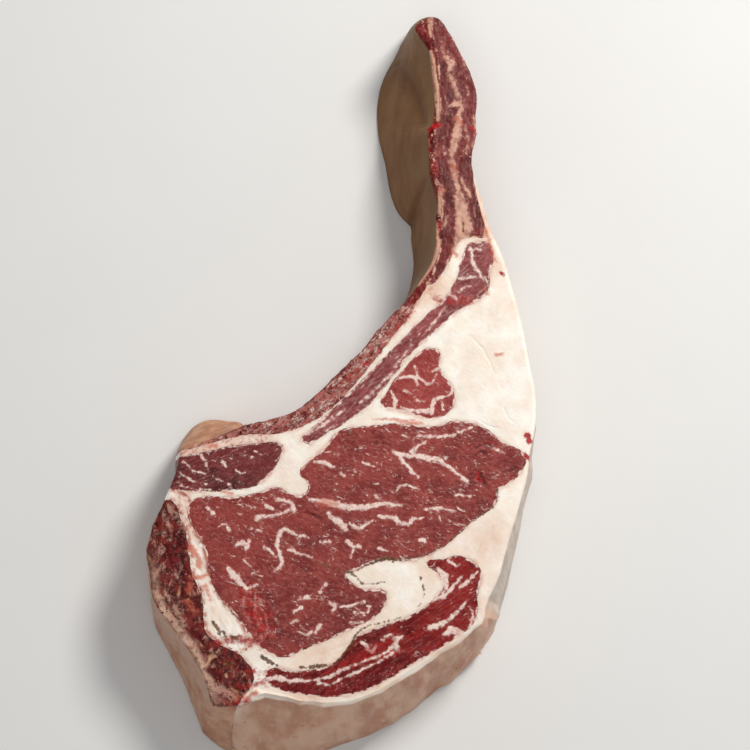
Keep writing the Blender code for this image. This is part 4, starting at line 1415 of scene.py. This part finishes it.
# What each solid of the frame is dressed as; level is the height of its cut face above FACE, in mm.
Piece = collections.namedtuple("Piece", "piece slot finish level relief fat")
PIECES = {
    "rib_bone": Piece("rib_with_membrane", "rib", "rib", -0.45, rib_relief, HANDLE_FAT + BONE_BAND),
    "rib_meat": Piece("handle_meat_strip", "lean", "handle", -0.1, handle_relief, HANDLE_FAT),
    "intercostal_muscle": Piece("short_rib_meat_strip", "lean", "strip", -0.1, lean_relief, SHORT_RIB_FAT),
    "eye_muscle": Piece("eye_of_the_rib", "lean", "eye", 0.0, lean_relief, EYE_VEINS),
    "chine_muscle": Piece(
        "chine_side_meat", "lean", "chine_side", -0.2, lean_relief, CHINE_MUSCLE_THREADS),
    "deckle_muscle": Piece("small_deckle_meat", "lean", "deckle", -0.1, lean_relief, DECKLE_VEINS),
    "cap_muscle": Piece("rib_cap_meat", "lean", "cap", -0.2, lean_relief, CAP_VEINS),
    "chine_bone": Piece("sawn_chine_bone", "chine", "chine_bone", -0.5, chine_relief, CHINE_FAT),
    "ligament": Piece("backstrap_ligament", "ligament", "ligament", -0.2, ligament_relief, ()),
    "fat": Piece("fat_layer", "fat", "fat", 0.0, fat_relief, ()),
}


# ---- crumbs, tags and knobs, scattered by Geometry Nodes ----

def scatter_tree(name, material):
    """Geometry Nodes: small lumps of uneven shape on the surface, where the field "scatter" allows."""
    tree = bpy.data.node_groups.new(name, "GeometryNodeTree")
    kinds = {
        "Surface": "NodeSocketGeometry", "Density": "NodeSocketFloat", "Smallest": "NodeSocketFloat",
        "Largest": "NodeSocketFloat", "Stretch": "NodeSocketFloat", "Seed": "NodeSocketInt",
    }
    sockets = {
        label: tree.interface.new_socket(label, in_out="INPUT", socket_type=kind).identifier
        for label, kind in kinds.items()
    }
    tree.interface.new_socket("Crumbs", in_out="OUTPUT", socket_type="NodeSocketGeometry")
    wiring = Wiring(tree)
    node = wiring.node
    given = node("NodeGroupInput")
    seed = given["Seed"]
    mask = node("GeometryNodeInputNamedAttribute", {"Name": "scatter"}, data_type="FLOAT")
    density = wiring.math("MULTIPLY", given["Density"], mask["Attribute"])
    spread = node(
        "GeometryNodeDistributePointsOnFaces", {"Mesh": given["Surface"], "Density": density, "Seed": seed})
    cube = node("GeometryNodeMeshCube", {"Size": (1.5, 1.5, 1.5)})
    lump = node("GeometryNodeSubdivisionSurface", {"Mesh": cube["Mesh"], "Level": 1})
    width = node(
        "FunctionNodeRandomValue", {2: given["Smallest"], 3: given["Largest"], "Seed": seed},
        data_type="FLOAT")[1]
    length = wiring.math("MULTIPLY", width, given["Stretch"])
    size = node("ShaderNodeCombineXYZ", {0: length, 1: width, 2: width})
    turn = node(
        "FunctionNodeRandomValue", {0: (-0.5, -0.5, 0.0), 1: (0.5, 0.5, 6.28), "Seed": seed},
        data_type="FLOAT_VECTOR")
    placed = node("GeometryNodeInstanceOnPoints", {
        "Points": spread["Points"], "Instance": lump["Mesh"], "Scale": size[0], "Rotation": turn[0]})
    real = node("GeometryNodeRealizeInstances", {"Geometry": placed["Instances"]})
    uneven = wiring.push(node("ShaderNodeTexNoise", {"Scale": 700.0})["Color"], given["Largest"])
    moved = node("GeometryNodeSetPosition", {"Geometry": real["Geometry"], "Offset": uneven})
    smooth = node("GeometryNodeSetShadeSmooth", {"Geometry": moved["Geometry"]})
    painted = node("GeometryNodeSetMaterial", {"Geometry": smooth["Geometry"], "Material": material})
    node("NodeGroupOutput", {"Crumbs": painted["Geometry"]})
    return tree, sockets


def scatter(name, sources, where, material, density, sizes, stretch, seed):
    """One mesh of lumps lying on several pieces; where gives the share of the density at each point."""
    surface = bmesh.new()
    for source in sources:
        surface.from_mesh(source.data)
    shares = where(np.array([vert.co for vert in surface.verts]) / MM)
    bare = [vert for vert, share in zip(surface.verts, shares) if share <= 0]
    bmesh.ops.delete(surface, geom=bare, context="VERTS")
    mesh = bpy.data.meshes.new(name)
    surface.to_mesh(mesh)
    surface.free()
    store(mesh, "scatter", shares[shares > 0])
    piece = add_object(name, mesh)
    modifier = piece.modifiers.new("scatter", "NODES")
    modifier.node_group, sockets = scatter_tree(name + "_tree", material)
    values = {
        "Density": density * 1e6, "Smallest": sizes[0] * MM, "Largest": sizes[1] * MM,
        "Stretch": stretch, "Seed": seed,
    }
    for label, value in values.items():
        modifier[sockets[label]] = value
    bpy.context.view_layer.update()
    evaluated = piece.evaluated_get(bpy.context.evaluated_depsgraph_get())
    result = bpy.data.meshes.new_from_object(evaluated)
    piece.modifiers.remove(modifier)
    piece.data = result
    bpy.data.meshes.remove(mesh)
    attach(piece, "root")


def near_stroke(points, strokes, soft):
    """1 on the strokes of the cut face, falling to 0 over the soft distance."""
    share = smooth_step(stroke_field(points[:, :2], strokes, WIDE), -soft, 0.0)
    return share * (points[:, 2] > FACE - 2.0)


def on_sawn_edge(points):
    side = wall_shares(points[:, :2])["sawn_rib"] * (points[:, 2] > 20.0)
    return near_stroke(points, SAWN_BAND, 2.0) + 0.6 * side


def on_handle_edges(points):
    return near_stroke(points, HANDLE_EDGES, 1.5)


def on_chine(points):
    return (points[:, 2] > FACE - 3.0) * 1.0


def on_eye(points):
    return near_stroke(points, SPECKED_EYE, 12.0)


def on_lower_end(points):
    return wall_shares(points[:, :2])["lower_end"] * (points[:, 2] < FACE - 4.0) * (points[:, 2] > 6.0)


def add_crumbs(pieces):
    """Scatters the small bits: lumps a square mm, sizes in mm, stretch and seed come last."""
    meaty = crumb_finish("meat_tags", (150, 62, 56), (206, 158, 142), 0.36)
    bony = crumb_finish("bone_crumbs", (190, 138, 122), (132, 60, 52), 0.55)
    fleshy = crumb_finish("chine_crumbs", (170, 104, 90), (112, 38, 32), 0.5)
    fatty = crumb_finish("fat_crumbs", (240, 220, 206), (222, 190, 176), 0.42)
    knobby = crumb_finish("tan_knobs", (224, 186, 160), (208, 156, 130), 0.45)
    rib, handle, chine = pieces["rib_bone"], pieces["rib_meat"], pieces["chine_bone"]
    eye, fat = pieces["eye_muscle"], pieces["fat"]
    scatter(
        "meat_tags_on_the_handle", [rib, handle], on_handle_edges, meaty, 0.16, (0.35, 0.9), 1.7, 3)
    scatter("sawn_bone_crumbs", [rib], on_sawn_edge, bony, 0.22, (0.22, 0.6), 1.3, 5)
    scatter("chine_crumbs", [chine], on_chine, fleshy, 0.04, (0.3, 0.9), 1.4, 7)
    scatter("fat_specks_on_the_eye", [eye], on_eye, fatty, 0.006, (0.2, 0.5), 1.6, 9)
    scatter("knobs_on_the_lower_end", [fat], on_lower_end, knobby, 0.003, (0.6, 1.3), 1.7, 13)


# ---- floor, lights and camera ----

CAMERA_DISTANCE = 1500.0     # from the middle of the cut face, in mm
CAMERA_TILT = math.radians(12)
CAMERA_SENSOR = 36.0
TARGET = (18.0, -8.5)        # where the camera looks on the plan, in mm
MM_PER_PIXEL = 0.55
PICTURE = 750                # pixels across the picture
FLOOR_HALF = 3.0             # half the floor's width, in metres
# Lights: place and target in metres, width, power and colour.
LIGHTS = {
    "key": ((0.75, 0.80, 1.15), (0.0, -0.02, 0.03), 0.5, 20.0, (1.0, 0.97, 0.93)),
    "overhead": ((-0.15, -0.55, 1.75), (0.0, 0.0, 0.03), 1.1, 5.0, (1.0, 0.99, 0.98)),
}


def add_light(name, place, target, size, power, colour):
    light = bpy.data.lights.new(name, "AREA")
    light.shape = "DISK"
    light.size = size
    light.energy = power
    light.color = colour
    lamp = add_object(name, light)
    lamp.location = place
    aim = Vector(target) - Vector(place)
    lamp.rotation_euler = aim.to_track_quat("-Z", "Y").to_euler()


def make_floor():
    mesh = bpy.data.meshes.new("pale_floor")
    corners = [(x * FLOOR_HALF, y * FLOOR_HALF, 0) for x, y in ((-1, -1), (1, -1), (1, 1), (-1, 1))]
    mesh.from_pydata(corners, [], [(0, 1, 2, 3)])
    finish = Finish("pale_floor")
    tint = finish.mix(finish.noise(60.0, 3.0), srgb(226, 226, 224), srgb(230, 230, 228))
    finish.feed(finish.shader["Base Color"], tint)
    finish.feed(finish.shader["Roughness"], 0.75)
    mesh.materials.append(finish.material)
    add_object("pale_floor", mesh)


def make_studio():
    make_floor()
    world = bpy.data.worlds.new("studio")
    bpy.context.scene.world = world
    world.use_nodes = True
    sky = world.node_tree.nodes["Background"]
    sky.inputs["Color"].default_value = (0.98, 0.98, 1.0, 1.0)
    sky.inputs["Strength"].default_value = 0.30
    for name, settings in LIGHTS.items():
        add_light(name, *settings)
    view = bpy.context.scene.view_settings
    view.view_transform = "Standard"
    view.look = "None"


def make_camera():
    camera = bpy.data.cameras.new("camera")
    camera.sensor_width = CAMERA_SENSOR
    camera.lens = CAMERA_SENSOR * (CAMERA_DISTANCE / MM_PER_PIXEL) / PICTURE
    camera.clip_start = 0.05
    camera.clip_end = 20.0
    viewer = add_object("camera", camera)
    back = CAMERA_DISTANCE * math.sin(CAMERA_TILT)
    above = FACE + CAMERA_DISTANCE * math.cos(CAMERA_TILT)
    viewer.location = (TARGET[0] * MM, (TARGET[1] - back) * MM, above * MM)
    viewer.rotation_euler = (CAMERA_TILT, 0.0, 0.0)
    bpy.context.scene.camera = viewer


def main():
    add_crumbs(dress_all(make_finishes()))
    make_studio()
    make_camera()


main()
